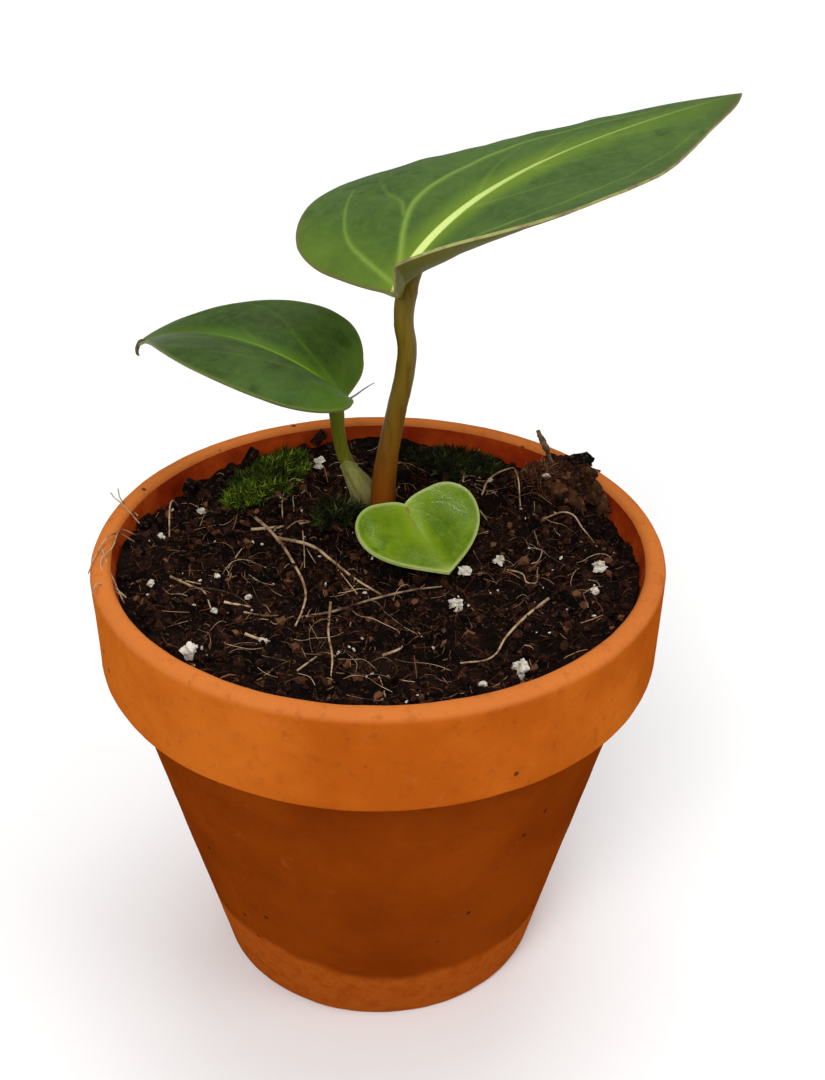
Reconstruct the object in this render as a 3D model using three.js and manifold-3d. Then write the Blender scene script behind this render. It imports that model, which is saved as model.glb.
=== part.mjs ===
// A young anthurium growing in a terracotta pot.
// Millimetres, +Z up. Everything is laid out around the pot's axis with the pot standing on z = 0,
// and the finished group is then moved so that its origin is the middle of the bottom of its box.
// Each leaf is a thin blade on its own stalk, and the stalks stand in sockets in the soil.

import * as THREE from 'three';
import { mergeVertices } from 'three/addons/utils/BufferGeometryUtils.js';
import Module from 'manifold-3d';

// ---------------------------------------------------------------- driving dimensions

// Space left between two pieces that touch on the real plant, and under what lies on the uneven soil.
const gap = 0.3;
const lieGap = 0.45;

// Pot
const potHeight = 84.5;
const lipRadius = 50;
const lipWidth = 3.4;
const lipOuterRounding = 2.3;
const lipInnerRounding = 1;
const collarHeight = 19.2;
const collarDraft = 0.6;
const collarStep = 3.5;
const collarRounding = 0.8;
const baseRadius = 30.2;
const baseRounding = 1;
const potWall = 4;
const potFloor = 7;
const drainHoleRadius = 6;

// Soil
const soilDrop = 4.5;
const stalkDepth = 6;

// Blades: how thick the leaf is, and how far the midrib stands out below it at the stalk.
const bladeThickness = 0.5;
const keelWidth = 1.5;

// Fineness of the round and curved shapes
const potSides = 48;
const soilSides = 48;
const soilRings = 11;
const stalkSides = 12;

// ---------------------------------------------------------------- worked-out sizes

const lipInnerRadius = lipRadius - lipWidth;
const collarBottom = potHeight - collarHeight;
const collarBottomRadius = lipRadius - collarDraft;
const bodyTopRadius = collarBottomRadius - collarStep;
const bodySlope = (bodyTopRadius - baseRadius) / collarBottom;
const floorInnerRadius = baseRadius + bodySlope * potFloor - potWall;
const innerSlope = (lipInnerRadius - floorInnerRadius) / (potHeight - lipInnerRounding - potFloor);
const soilLevel = potHeight - soilDrop;

// Inside radius of the pot at a height, and the radius of the soil that fills it there.
function potInnerRadius(height) {
  return floorInnerRadius + innerSlope * (height - potFloor);
}

function soilRadiusAt(height) {
  return potInnerRadius(height) - gap;
}

const soilRadius = soilRadiusAt(soilLevel);

// ---------------------------------------------------------------- small helpers

const radians = THREE.MathUtils.degToRad;
const mix = THREE.MathUtils.lerp;

const wasm = await Module();
wasm.setup();

// A copy that keeps only the positions, with the points that several faces share merged.
function sharedCorners(geometry) {
  const bare = geometry.clone();
  bare.deleteAttribute('normal');
  bare.deleteAttribute('uv');
  return mergeVertices(bare, 1e-4);
}

function toSolid(geometry) {
  const merged = sharedCorners(geometry);
  return new wasm.Manifold(new wasm.Mesh({
    numProp: 3,
    vertProperties: new Float32Array(merged.attributes.position.array),
    triVerts: new Uint32Array(merged.index.array),
  }));
}

function fromSolid(solid) {
  const mesh = solid.getMesh();
  const geometry = new THREE.BufferGeometry();
  geometry.setAttribute('position', new THREE.BufferAttribute(new Float32Array(mesh.vertProperties), 3));
  geometry.setIndex(new THREE.BufferAttribute(new Uint32Array(mesh.triVerts), 1));
  geometry.computeVertexNormals();
  return geometry;
}

// A closed skin over rings of points, with as many points in each ring. The rings run so that their
// points turn anticlockwise seen from the last ring, and each end closes on its own middle point.
function skinRings(rings, startPoint, endPoint) {
  const sides = rings[0].length;
  const points = [startPoint, ...rings.flat(), endPoint];
  const last = points.length - 1;
  const index = [];
  const at = (ring, side) => 1 + ring * sides + (side % sides);
  for (let side = 0; side < sides; side += 1) {
    index.push(0, at(0, side + 1), at(0, side));
    for (let ring = 0; ring < rings.length - 1; ring += 1) {
      index.push(at(ring, side), at(ring, side + 1), at(ring + 1, side + 1));
      index.push(at(ring, side), at(ring + 1, side + 1), at(ring + 1, side));
    }
    index.push(at(rings.length - 1, side), at(rings.length - 1, side + 1), last);
  }
  const geometry = new THREE.BufferGeometry().setFromPoints(points);
  geometry.setIndex(index);
  geometry.computeVertexNormals();
  return geometry;
}

// A place on the soil: a direction from the pot's axis and a share of the soil's radius.
function place(direction, share) {
  const angle = radians(direction);
  return new THREE.Vector2(Math.cos(angle), Math.sin(angle)).multiplyScalar(share * soilRadius);
}

// ---------------------------------------------------------------- materials

function material(colour, roughness) {
  return new THREE.MeshStandardMaterial({ color: colour, roughness, metalness: 0 });
}

const terracotta = material('#b8592b', 0.85);
const peat = material('#2b1c14', 0.95);
const velvetLeaf = material('#3c5a33', 0.6);
const satinLeaf = material('#35502c', 0.4);
const youngLeaf = material('#7c9c2c', 0.35);
const bronzeStalk = material('#86602a', 0.5);
const greenStalk = material('#76853a', 0.5);
const papery = material('#b3ad74', 0.7);
const mossGreen = material('#4a5a1f', 0.9);
const rootTan = material('#a58a66', 0.8);
const barkBrown = material('#5d4632', 0.9);
const perliteWhite = material('#e4e0d8', 0.9);

// ---------------------------------------------------------------- pot

function potGeometry() {
  const quarter = Math.PI / 2;
  const profile = new THREE.Path();
  profile.moveTo(drainHoleRadius, 0);
  profile.lineTo(baseRadius - baseRounding, 0);
  profile.absarc(baseRadius - baseRounding, baseRounding, baseRounding, -quarter, 0, false);
  profile.lineTo(bodyTopRadius, collarBottom);
  profile.lineTo(collarBottomRadius - collarRounding, collarBottom);
  profile.absarc(collarBottomRadius - collarRounding, collarBottom + collarRounding, collarRounding,
    -quarter, 0, false);
  profile.lineTo(lipRadius, potHeight - lipOuterRounding);
  profile.absarc(lipRadius - lipOuterRounding, potHeight - lipOuterRounding, lipOuterRounding,
    0, quarter, false);
  profile.lineTo(lipInnerRadius + lipInnerRounding, potHeight);
  profile.absarc(lipInnerRadius + lipInnerRounding, potHeight - lipInnerRounding, lipInnerRounding,
    quarter, 2 * quarter, false);
  profile.lineTo(floorInnerRadius, potFloor);
  profile.lineTo(drainHoleRadius, potFloor);
  profile.lineTo(drainHoleRadius, 0);
  const arcSteps = 2;
  const points = [];
  for (const point of profile.getPoints(arcSteps)) {
    const before = points[points.length - 1];
    if (!before || before.distanceTo(point) > 1e-6) points.push(point);
  }
  const geometry = new THREE.LatheGeometry(points, potSides);
  geometry.rotateX(Math.PI / 2);
  return geometry;
}

// ---------------------------------------------------------------- soil

// Rises and hollows of the soil, where, how wide and how high: a lumpy clump at the back right,
// banks against the left, back and right walls, a hollow under the smallest leaf and a dip in front.
const soilRises = [
  { direction: 40, share: 0.87, reach: 5, height: 5 },
  { direction: 178, share: 1, reach: 9, height: 1.6 },
  { direction: 92, share: 1, reach: 10, height: 1.3 },
  { direction: -15, share: 1, reach: 8, height: 1.6 },
  { direction: 8, share: 0.2, reach: 12, height: -2 },
  { direction: -78, share: 0.58, reach: 12, height: -1.2 },
];

function soilTop(x, y) {
  let height = soilLevel;
  height += 0.3 * Math.sin(0.31 * x + 1.1) * Math.cos(0.27 * y);
  height += 0.25 * Math.sin(0.17 * x - 0.41 * y + 2);
  for (const rise of soilRises) {
    const centre = place(rise.direction, rise.share);
    const distance = Math.hypot(x - centre.x, y - centre.y);
    height += rise.height * Math.exp(-(distance ** 2) / (2 * rise.reach ** 2));
  }
  return height;
}

function soilSolid() {
  const bottom = potFloor + gap;
  const rings = [];
  const ringAt = (pointAt) => {
    const ring = [];
    for (let side = 0; side < soilSides; side += 1) {
      const angle = (2 * Math.PI * side) / soilSides;
      ring.push(pointAt(Math.cos(angle), Math.sin(angle)));
    }
    return ring;
  };
  rings.push(ringAt((c, s) => new THREE.Vector3(
    c * soilRadiusAt(bottom), s * soilRadiusAt(bottom), bottom)));
  for (let step = 0; step < soilRings; step += 1) {
    const share = 1 - step / soilRings;
    rings.push(ringAt((c, s) => {
      const near = soilTop(c * share * soilRadius, s * share * soilRadius);
      const reach = share * soilRadiusAt(Math.min(near, soilLevel));
      return new THREE.Vector3(c * reach, s * reach, near);
    }));
  }
  return toSolid(skinRings(rings,
    new THREE.Vector3(0, 0, bottom), new THREE.Vector3(0, 0, soilTop(0, 0))));
}

// ---------------------------------------------------------------- leaf blades

// A leaf is drawn flat, as lengths along the midrib and across it, and then bent. Its outline runs
// from the tip by the widest place to the end of the lobe, and in to the notch behind the stalk.
// The midrib leaves the stalk at a heading and a rise, and both ease to other values at the tip.
// Each side lifts from the midrib by an angle and curls by another between midrib and widest edge.
// A value with an ease changes fast at first and then slowly, and one without it changes evenly.
const largeLeaf = {
  stalkTop: [3.1, 16.7, 45],
  length: 83,
  halfWidth: 31.2,
  widestAt: 21,
  lobeReach: 2.6,
  lobeWidth: 13,
  tipFullness: 0.4,
  notchReach: 0.8,
  rightShare: 0.9,
  heading: { atStalk: 48.8, atTip: 23.5, ease: 2 },
  rise: { atStalk: 50, atTip: 7.5, ease: 0.19 },
  roll: { atStalk: -18.6, atTip: 3.2 },
  lobeDrop: 3,
  leftLift: { atStalk: 41, atTip: -9 },
  leftCurl: { atStalk: -35, atTip: -68 },
  rightLift: { atStalk: 60.8, atTip: -14.2, ease: 0.114 },
  rightCurl: { atStalk: -70.7, atTip: 31.2, ease: 0.114 },
  keel: 0.9,
  ringCount: 8,
  edgeSteps: [11, 8, 4],
};

const middleLeaf = {
  stalkTop: [-7, 16.1, 24.8],
  length: 50.5,
  halfWidth: 18.1,
  widestAt: 8,
  lobeReach: 1.4,
  lobeWidth: 7,
  tipFullness: 0.21,
  notchReach: 0.6,
  rightShare: 1.01,
  heading: { atStalk: 169, atTip: 134, ease: 1.24 },
  rise: { atStalk: 42, atTip: -33.7, ease: 1.15 },
  roll: { atStalk: 12.3, atTip: -10.6 },
  lobeDrop: 11,
  leftLift: { atStalk: 35.4, atTip: 5.5 },
  leftCurl: { atStalk: -76, atTip: -15 },
  rightLift: { atStalk: 19, atTip: 20 },
  rightCurl: { atStalk: 5, atTip: -54 },
  keel: 0.6,
  ringCount: 6,
  edgeSteps: [9, 6, 4],
};

const smallLeaf = {
  stalkTop: [4.6, 11.3, 5.2],
  length: 17,
  halfWidth: 12,
  widestAt: 4.4,
  lobeReach: 1.6,
  lobeWidth: 6,
  tipFullness: 0.57,
  notchReach: 0.4,
  rightShare: 0.96,
  heading: { atStalk: -61.7, atTip: -60.5, ease: 2 },
  rise: { atStalk: -28.5, atTip: -9.3, ease: 2 },
  roll: { atStalk: 7.3, atTip: -1.7 },
  lobeDrop: 10.7,
  leftLift: { atStalk: 11.5, atTip: -5.5 },
  leftCurl: { atStalk: 3, atTip: 3 },
  rightLift: { atStalk: 8.8, atTip: -0.7 },
  rightCurl: { atStalk: 3, atTip: 3 },
  keel: 0.2,
  ringCount: 5,
  edgeSteps: [7, 6, 3],
};

// How full the outline's curves are, each as a share of the run that it bends along.
const tipRun = 0.35;
const sideRun = 0.45;
const shoulderRun = 0.55;
const lobeRun = 0.6;
const lobeInnerRun = 0.35;
const notchRun = 0.12;

function halfOutline(leaf) {
  const corner = (along, across) => new THREE.Vector2(along, across);
  const frontLength = leaf.length - leaf.widestAt;
  const backLength = leaf.widestAt + leaf.lobeReach;
  const runs = [
    new THREE.CubicBezierCurve(
      corner(leaf.length, 0),
      corner(leaf.length - tipRun * frontLength, leaf.tipFullness * leaf.halfWidth),
      corner(leaf.widestAt + sideRun * frontLength, leaf.halfWidth),
      corner(leaf.widestAt, leaf.halfWidth)),
    new THREE.CubicBezierCurve(
      corner(leaf.widestAt, leaf.halfWidth),
      corner(leaf.widestAt - shoulderRun * backLength, leaf.halfWidth),
      corner(-leaf.lobeReach, mix(leaf.lobeWidth, leaf.halfWidth, lobeRun)),
      corner(-leaf.lobeReach, leaf.lobeWidth)),
    new THREE.CubicBezierCurve(
      corner(-leaf.lobeReach, leaf.lobeWidth),
      corner(-leaf.lobeReach, lobeInnerRun * leaf.lobeWidth),
      corner(-mix(leaf.notchReach, leaf.lobeReach, 0.5), notchRun * leaf.lobeWidth),
      corner(-leaf.notchReach, 0)),
  ];
  const points = [runs[0].getPoint(0)];
  runs.forEach((run, number) => points.push(...run.getPoints(leaf.edgeSteps[number]).slice(1)));
  return points;
}

function outline(leaf) {
  const left = halfOutline(leaf);
  const right = left.slice(1, -1).reverse()
    .map((point) => new THREE.Vector2(point.x, -point.y * leaf.rightShare));
  return [...left, ...right];
}

// Goes from 0 at the stalk to 1 at the tip, faster at first where reach is small.
function easing(share, reach) {
  return (1 - Math.exp(-share / reach)) / (1 - Math.exp(-1 / reach));
}

function direction(riseDegrees, headingDegrees) {
  const rise = radians(riseDegrees);
  const heading = radians(headingDegrees);
  return new THREE.Vector3(
    Math.cos(rise) * Math.cos(heading), Math.cos(rise) * Math.sin(heading), Math.sin(rise));
}

// The least curl, in radians, that the bending sums can divide by.
const nearlyFlat = 1e-3;

// Returns the function that bends a flat point of the leaf into its place in space.
function bladeSurface(leaf) {
  const steps = 60;
  const along = (value, share) =>
    mix(value.atStalk, value.atTip, value.ease ? easing(share, value.ease) : share);
  const headingAt = (share) => along(leaf.heading, share);
  const riseAt = (share) => along(leaf.rise, share);
  const tangentAt = (share) => direction(riseAt(share), headingAt(share));
  const [stalkX, stalkY, stalkHeight] = leaf.stalkTop;
  const midrib = [new THREE.Vector3(stalkX, stalkY, soilLevel + stalkHeight)];
  for (let step = 0; step < steps; step += 1) {
    const tangent = tangentAt((step + 0.5) / steps);
    midrib.push(midrib[step].clone().addScaledVector(tangent, leaf.length / steps));
  }
  const backwards = direction(leaf.rise.atStalk - leaf.lobeDrop, leaf.heading.atStalk);
  return (lengthwise, crosswise) => {
    const share = THREE.MathUtils.clamp(lengthwise / leaf.length, 0, 1);
    const step = Math.min(Math.floor(share * steps), steps - 1);
    const point = midrib[step].clone().lerp(midrib[step + 1], share * steps - step);
    point.addScaledVector(backwards, Math.min(lengthwise, 0));
    const tangent = tangentAt(share);
    const heading = radians(headingAt(share));
    const sideways = new THREE.Vector3(-Math.sin(heading), Math.cos(heading), 0);
    const upwards = new THREE.Vector3().crossVectors(tangent, sideways);
    const roll = radians(along(leaf.roll, share));
    const side = sideways.clone().multiplyScalar(Math.cos(roll)).addScaledVector(upwards, Math.sin(roll));
    const up = upwards.clone().multiplyScalar(Math.cos(roll)).addScaledVector(sideways, -Math.sin(roll));
    const isLeft = crosswise >= 0;
    const lift = radians(along(isLeft ? leaf.leftLift : leaf.rightLift, share));
    const curl = radians(along(isLeft ? leaf.leftCurl : leaf.rightCurl, share));
    const bend = (Math.abs(curl) < nearlyFlat ? nearlyFlat : curl) / leaf.halfWidth;
    const turned = lift + bend * Math.abs(crosswise);
    const out = (Math.sin(turned) - Math.sin(lift)) / bend;
    const raised = (Math.cos(lift) - Math.cos(turned)) / bend;
    return point.addScaledVector(side, Math.sign(crosswise) * out).addScaledVector(up, raised);
  };
}

function bladeNormal(surface, along, across) {
  const reach = 0.2;
  const forwards = surface(along + reach, across).sub(surface(along - reach, across));
  const leftwards = surface(along, across + reach).sub(surface(along, across - reach));
  return forwards.cross(leftwards).normalize();
}

// Thickness of the blade with the midrib's keel, which thins out towards the tip.
function bladeDepth(leaf, along, across) {
  const share = THREE.MathUtils.clamp(along / leaf.length, 0, 1);
  return bladeThickness + leaf.keel * (1 - share) * Math.exp(-((across / keelWidth) ** 2));
}

function bladeGeometry(leaf) {
  const surface = bladeSurface(leaf);
  const edge = outline(leaf);
  const upper = (along, across) => surface(along, across);
  const lower = (along, across) => surface(along, across)
    .addScaledVector(bladeNormal(surface, along, across), -bladeDepth(leaf, along, across));
  const rings = [];
  for (let ring = 1; ring <= leaf.ringCount; ring += 1) {
    const share = ring / leaf.ringCount;
    rings.push(edge.map((point) => lower(point.x * share, point.y * share)));
  }
  for (let ring = leaf.ringCount; ring >= 1; ring -= 1) {
    const share = ring / leaf.ringCount;
    rings.push(edge.map((point) => upper(point.x * share, point.y * share)));
  }
  return skinRings(rings, lower(0, 0), upper(0, 0));
}

// ---------------------------------------------------------------- stalks

// Waypoints of each stalk from the soil up, as x and y from the pot's axis and height over the soil.
const largeStalk = {
  leaf: largeLeaf,
  waypoints: [[0.4, 16.7, 0], [0.7, 16.7, 7.6], [1.8, 16.7, 15.8], [2.9, 16.7, 21.8],
    [4.4, 16.7, 29.7], [4.7, 16.7, 34], [4.1, 16.7, 39]],
  radii: [2.4, 2.2, 1.85, 1.75, 1.75, 1.65, 1.6],
  steps: 22,
};

const middleStalk = {
  leaf: middleLeaf,
  waypoints: [[-2.9, 21, 0], [-3.8, 19.8, 4.1], [-5.8, 18.4, 9.5], [-6.9, 17.6, 13], [-7.6, 16.7, 18.2]],
  radii: [1.6, 1.5, 1.3, 1.2, 1.15, 1.1],
  steps: 16,
};

const smallStalk = {
  leaf: smallLeaf,
  waypoints: [[2.4, 13.2, -1]],
  radii: [0.9, 0.7],
  steps: 6,
};

// The stalk's rounded head sits just under the blade, square to the midrib's underside.
function stalkHead(stalk) {
  const { leaf } = stalk;
  const surface = bladeSurface(leaf);
  const headRadius = stalk.radii[stalk.radii.length - 1];
  const reach = headRadius + bladeDepth(leaf, 0, 0) + gap;
  return surface(0, 0).addScaledVector(bladeNormal(surface, 0, 0), -reach);
}

function stalkCurve(stalk) {
  const points = stalk.waypoints.map(([x, y, height]) => new THREE.Vector3(x, y, soilLevel + height));
  const foot = points[0].clone();
  foot.z -= stalkDepth;
  return new THREE.CatmullRomCurve3([foot, ...points, stalkHead(stalk)], false, 'centripetal');
}

function stalkRadius(stalk, share) {
  const spot = share * (stalk.radii.length - 1);
  const step = Math.min(Math.floor(spot), stalk.radii.length - 2);
  return mix(stalk.radii[step], stalk.radii[step + 1], spot - step);
}

// A round stalk with a flat foot and a rounded head. Grown by some margin it is the stalk's socket.
function stalkGeometry(stalk, margin = 0) {
  const curve = stalkCurve(stalk);
  const frames = curve.computeFrenetFrames(stalk.steps);
  const ringAt = (centre, normal, binormal, radius) => {
    const ring = [];
    for (let side = 0; side < stalkSides; side += 1) {
      const angle = (2 * Math.PI * side) / stalkSides;
      ring.push(centre.clone().addScaledVector(normal, radius * Math.cos(angle))
        .addScaledVector(binormal, radius * Math.sin(angle)));
    }
    return ring;
  };
  const rings = [];
  for (let step = 0; step <= stalk.steps; step += 1) {
    const share = step / stalk.steps;
    rings.push(ringAt(curve.getPointAt(share), frames.normals[step], frames.binormals[step],
      stalkRadius(stalk, share) + margin));
  }
  const headRadius = stalkRadius(stalk, 1) + margin;
  const headTangent = frames.tangents[stalk.steps];
  const head = curve.getPointAt(1);
  const headRings = 3;
  for (let step = 1; step < headRings; step += 1) {
    const angle = (Math.PI / 2) * (step / headRings);
    const centre = head.clone().addScaledVector(headTangent, headRadius * Math.sin(angle));
    rings.push(ringAt(centre, frames.normals[stalk.steps], frames.binormals[stalk.steps],
      headRadius * Math.cos(angle)));
  }
  const foot = curve.getPointAt(0).addScaledVector(frames.tangents[0], -margin);
  rings[0].forEach((point) => point.addScaledVector(frames.tangents[0], -margin));
  return skinRings(rings, foot, head.clone().addScaledVector(headTangent, headRadius));
}

// The papery sheath that wraps the front right of the middle leaf's stalk, from the soil up.
const sheath = { height: 11, thickness: 0.35, wrapFrom: -150, wrapTo: 20, bulge: 0.8, steps: 7, sides: 8 };

function sheathGeometry() {
  const curve = stalkCurve(middleStalk);
  const length = curve.getLength();
  const from = (stalkDepth + 1.2) / length;
  const to = from + sheath.height / length;
  const rings = [];
  for (let step = 0; step <= sheath.steps; step += 1) {
    const rise = step / sheath.steps;
    const share = mix(from, to, rise);
    const centre = curve.getPointAt(share);
    const swell = sheath.bulge * Math.sin(Math.PI * rise) * (1 - 0.4 * rise);
    const inner = stalkRadius(middleStalk, share) + gap;
    const halfWrap = (sheath.wrapTo - sheath.wrapFrom) / 2 * (1 - 0.75 * rise ** 3);
    const middle = (sheath.wrapTo + sheath.wrapFrom) / 2;
    const arc = (radius) => {
      const points = [];
      for (let side = 0; side <= sheath.sides; side += 1) {
        const spread = (2 * side) / sheath.sides - 1;
        const angle = radians(middle + halfWrap * spread);
        const stand = radius + swell * (1 - spread ** 2);
        points.push(new THREE.Vector3(
          centre.x + stand * Math.cos(angle), centre.y + stand * Math.sin(angle), centre.z));
      }
      return points;
    };
    rings.push([...arc(inner + sheath.thickness), ...arc(inner).reverse()]);
  }
  const middleOf = (ring) => ring.reduce((sum, point) => sum.add(point), new THREE.Vector3())
    .divideScalar(ring.length);
  // Both ends are nearly flat strips, so each closes on a point in the strip's own middle.
  const stripMiddle = (ring) => {
    const half = sheath.sides / 2;
    return middleOf([ring[half], ring[ring.length - 1 - half]]);
  };
  return skinRings(rings, stripMiddle(rings[0]), stripMiddle(rings[rings.length - 1]));
}

// ---------------------------------------------------------------- what lies on the soil

// Roots that lie over the soil, each as directions and shares of the soil's radius along its way.
const surfaceRoots = [
  { name: 'surface_root_1', radius: 0.3, way: [[147, 0.5], [141, 0.44], [123, 0.41]] },
  { name: 'surface_root_2', radius: 0.34,
    way: [[144, 0.63], [163, 0.42], [-155, 0.31], [-143, 0.34], [-133, 0.43]] },
  { name: 'surface_root_3', radius: 0.36,
    way: [[153, 0.42], [150, 0.31], [159, 0.22], [-166, 0.13], [-93, 0.18]] },
  { name: 'surface_root_4', radius: 0.3,
    way: [[-129, 0.48], [-122, 0.37], [-105, 0.25], [-55, 0.2], [-30, 0.24]] },
  { name: 'surface_root_5', radius: 0.26, way: [[-119, 0.42], [-109, 0.57], [-103, 0.74]] },
  { name: 'surface_root_6', radius: 0.3,
    way: [[-64, 0.69], [-56, 0.74], [-48, 0.7], [-30, 0.65], [-18, 0.7]] },
  { name: 'surface_root_7', radius: 0.26, way: [[-174, 0.82], [-165, 0.7], [-154, 0.69]] },
];

// Cushions of moss, each with its length, width and height over the soil, turned about the vertical.
const mossCushions = [
  { name: 'moss_back_left', direction: 127, share: 0.8, length: 19, width: 8, turn: 61, height: 2.4,
    sides: 20, ringCount: 4 },
  { name: 'moss_back_right', direction: 69, share: 0.85, length: 17, width: 7.5, turn: -12, height: 2.2,
    sides: 20, ringCount: 4 },
  { name: 'moss_tuft', besideRoot: surfaceRoots[0], offset: [2.4, -2.2], length: 5.5, width: 5, turn: 0,
    height: 3, sides: 12, ringCount: 3 },
];

// A cushion lies at a direction and share of its own, or at an offset from the end of a root.
function cushionPlace({ direction: towards, share, besideRoot, offset }) {
  if (!besideRoot) return place(towards, share);
  const rootEnd = place(...besideRoot.way[besideRoot.way.length - 1]);
  return new THREE.Vector2(rootEnd.x + offset[0], rootEnd.y + offset[1]);
}

// A low cushion that follows the soil under it, such as a pad of moss.
function cushionGeometry(cushion) {
  const { length, width, turn, height, sides, ringCount } = cushion;
  const centre = cushionPlace(cushion);
  const rimHeight = 0.4;
  const spin = radians(turn);
  const ringAt = (reach, lift) => {
    const ring = [];
    for (let side = 0; side < sides; side += 1) {
      const angle = (2 * Math.PI * side) / sides;
      const wobble = 1 + 0.12 * Math.sin(3 * angle + 1) + 0.06 * Math.cos(5 * angle);
      const forth = reach * wobble * (length / 2) * Math.cos(angle);
      const aside = reach * wobble * (width / 2) * Math.sin(angle);
      const x = centre.x + forth * Math.cos(spin) - aside * Math.sin(spin);
      const y = centre.y + forth * Math.sin(spin) + aside * Math.cos(spin);
      ring.push(new THREE.Vector3(x, y, soilTop(x, y) + lieGap + lift));
    }
    return ring;
  };
  const domeAt = (reach) => rimHeight + (height - rimHeight) * Math.sqrt(1 - reach ** 2);
  const rings = [];
  for (let ring = 1; ring <= ringCount; ring += 1) rings.push(ringAt(ring / ringCount, 0));
  for (let ring = ringCount; ring >= 1; ring -= 1) {
    rings.push(ringAt(ring / ringCount, domeAt(ring / ringCount)));
  }
  const ground = soilTop(centre.x, centre.y) + lieGap;
  return skinRings(rings,
    new THREE.Vector3(centre.x, centre.y, ground), new THREE.Vector3(centre.x, centre.y, ground + height));
}

function rootGeometry({ radius, way }) {
  const flat = new THREE.SplineCurve(way.map(([towards, share]) => place(towards, share)));
  const spans = 3 * (way.length - 1);
  const points = flat.getSpacedPoints(spans)
    .map(({ x, y }) => new THREE.Vector3(x, y, soilTop(x, y) + lieGap + radius));
  const section = new THREE.Shape().absarc(0, 0, radius, 0, 2 * Math.PI, false);
  return new THREE.ExtrudeGeometry(section, {
    steps: 2 * spans,
    curveSegments: 3,
    bevelEnabled: false,
    extrudePath: new THREE.CatmullRomCurve3(points),
  });
}

// The dead twig that stands at the back right.
const twig = {
  direction: 41.6,
  share: 0.91,
  radius: 0.6,
  waypoints: [[0, 0, 0], [-0.9, 0.4, 2.5], [-0.6, 0.8, 4.4], [-1.5, 1.5, 7.4]],
};

function twigGeometry() {
  const foot = place(twig.direction, twig.share);
  const ground = soilTop(foot.x, foot.y) + 2 * lieGap;
  const points = twig.waypoints
    .map(([x, y, height]) => new THREE.Vector3(foot.x + x, foot.y + y, ground + height));
  const section = new THREE.Shape().absarc(0, 0, twig.radius, 0, 2 * Math.PI, false);
  return new THREE.ExtrudeGeometry(section, {
    steps: 8,
    curveSegments: 3,
    bevelEnabled: false,
    extrudePath: new THREE.CatmullRomCurve3(points),
  });
}

// Perlite grains: where each one lies and how wide it is. The first lies beside the small leaf's tip.
const perliteGrains = [
  { besideTip: [2.9, 1.3], width: 2.6 },
  { direction: 2, share: 0.47, width: 2.2 },
  { direction: -6, share: 0.85, width: 2.4 },
  { direction: -18, share: 0.85, width: 1.5 },
  { direction: -45, share: 0.41, width: 2.4 },
  { direction: -55, share: 0.88, width: 3 },
  { direction: -136, share: 0.91, width: 2.4 },
  { direction: 109, share: 0.82, width: 1.7 },
  { direction: -167, share: 0.88, width: 1.5 },
];

function grainPlace({ besideTip, direction: towards, share }) {
  if (!besideTip) return place(towards, share);
  const tip = bladeSurface(smallLeaf)(smallLeaf.length, 0);
  return new THREE.Vector2(tip.x + besideTip[0], tip.y + besideTip[1]);
}

function perliteGeometry(perlite, number) {
  const centre = grainPlace(perlite);
  const radius = perlite.width / 2;
  const grain = sharedCorners(new THREE.IcosahedronGeometry(radius, 0));
  const position = grain.attributes.position;
  for (let corner = 0; corner < position.count; corner += 1) {
    const uneven = 1 - 0.12 * (1 + Math.sin(2.3 * corner + 1.7 * number));
    position.setXYZ(corner, position.getX(corner) * uneven, position.getY(corner) * uneven,
      position.getZ(corner) * uneven * 0.8);
  }
  grain.rotateZ(number);
  grain.translate(centre.x, centre.y, soilTop(centre.x, centre.y) + radius + lieGap);
  grain.computeVertexNormals();
  return grain;
}

// ---------------------------------------------------------------- assembly

const plant = new THREE.Group();

function add(name, geometry, look) {
  const mesh = new THREE.Mesh(geometry, look);
  mesh.name = name;
  plant.add(mesh);
}

const stalks = [largeStalk, middleStalk, smallStalk];
const soil = stalks.reduce((solid, stalk) => solid.subtract(toSolid(stalkGeometry(stalk, gap))), soilSolid());

add('terracotta_pot', potGeometry(), terracotta);
add('soil', fromSolid(soil), peat);
add('large_leaf_blade', bladeGeometry(largeLeaf), velvetLeaf);
add('large_leaf_stalk', stalkGeometry(largeStalk), bronzeStalk);
add('middle_leaf_blade', bladeGeometry(middleLeaf), satinLeaf);
add('middle_leaf_stalk', stalkGeometry(middleStalk), greenStalk);
add('middle_leaf_sheath', sheathGeometry(), papery);
add('small_leaf_blade', bladeGeometry(smallLeaf), youngLeaf);
add('small_leaf_stalk', stalkGeometry(smallStalk), greenStalk);
mossCushions.forEach((cushion) => add(cushion.name, cushionGeometry(cushion), mossGreen));
surfaceRoots.forEach((root) => add(root.name, rootGeometry(root), rootTan));
add('dead_twig', twigGeometry(), barkBrown);
perliteGrains.forEach((grain, number) => {
  add(`perlite_grain_${number + 1}`, perliteGeometry(grain, number), perliteWhite);
});

// The origin goes to the middle of the bottom of the whole thing's box.
const box = new THREE.Box3().setFromObject(plant);
plant.position.set(-(box.min.x + box.max.x) / 2, -(box.min.y + box.max.y) / 2, -box.min.z);

const group = new THREE.Group();
group.add(plant);

export default group;
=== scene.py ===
# %% [markdown]
# # A small potted anthurium
# The plant is three heart-shaped leaves on thin stalks, growing from dark peat in a
# little terracotta pot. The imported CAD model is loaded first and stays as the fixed
# frame: it gives every place and size. Each piece that shows is then modelled again
# with more detail, and it stands for the CAD piece of the same name.

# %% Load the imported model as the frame
import math
import random

import bpy
import numpy as np
from mathutils import Matrix, Quaternion, Vector, noise
from mathutils.bvhtree import BVHTree


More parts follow.
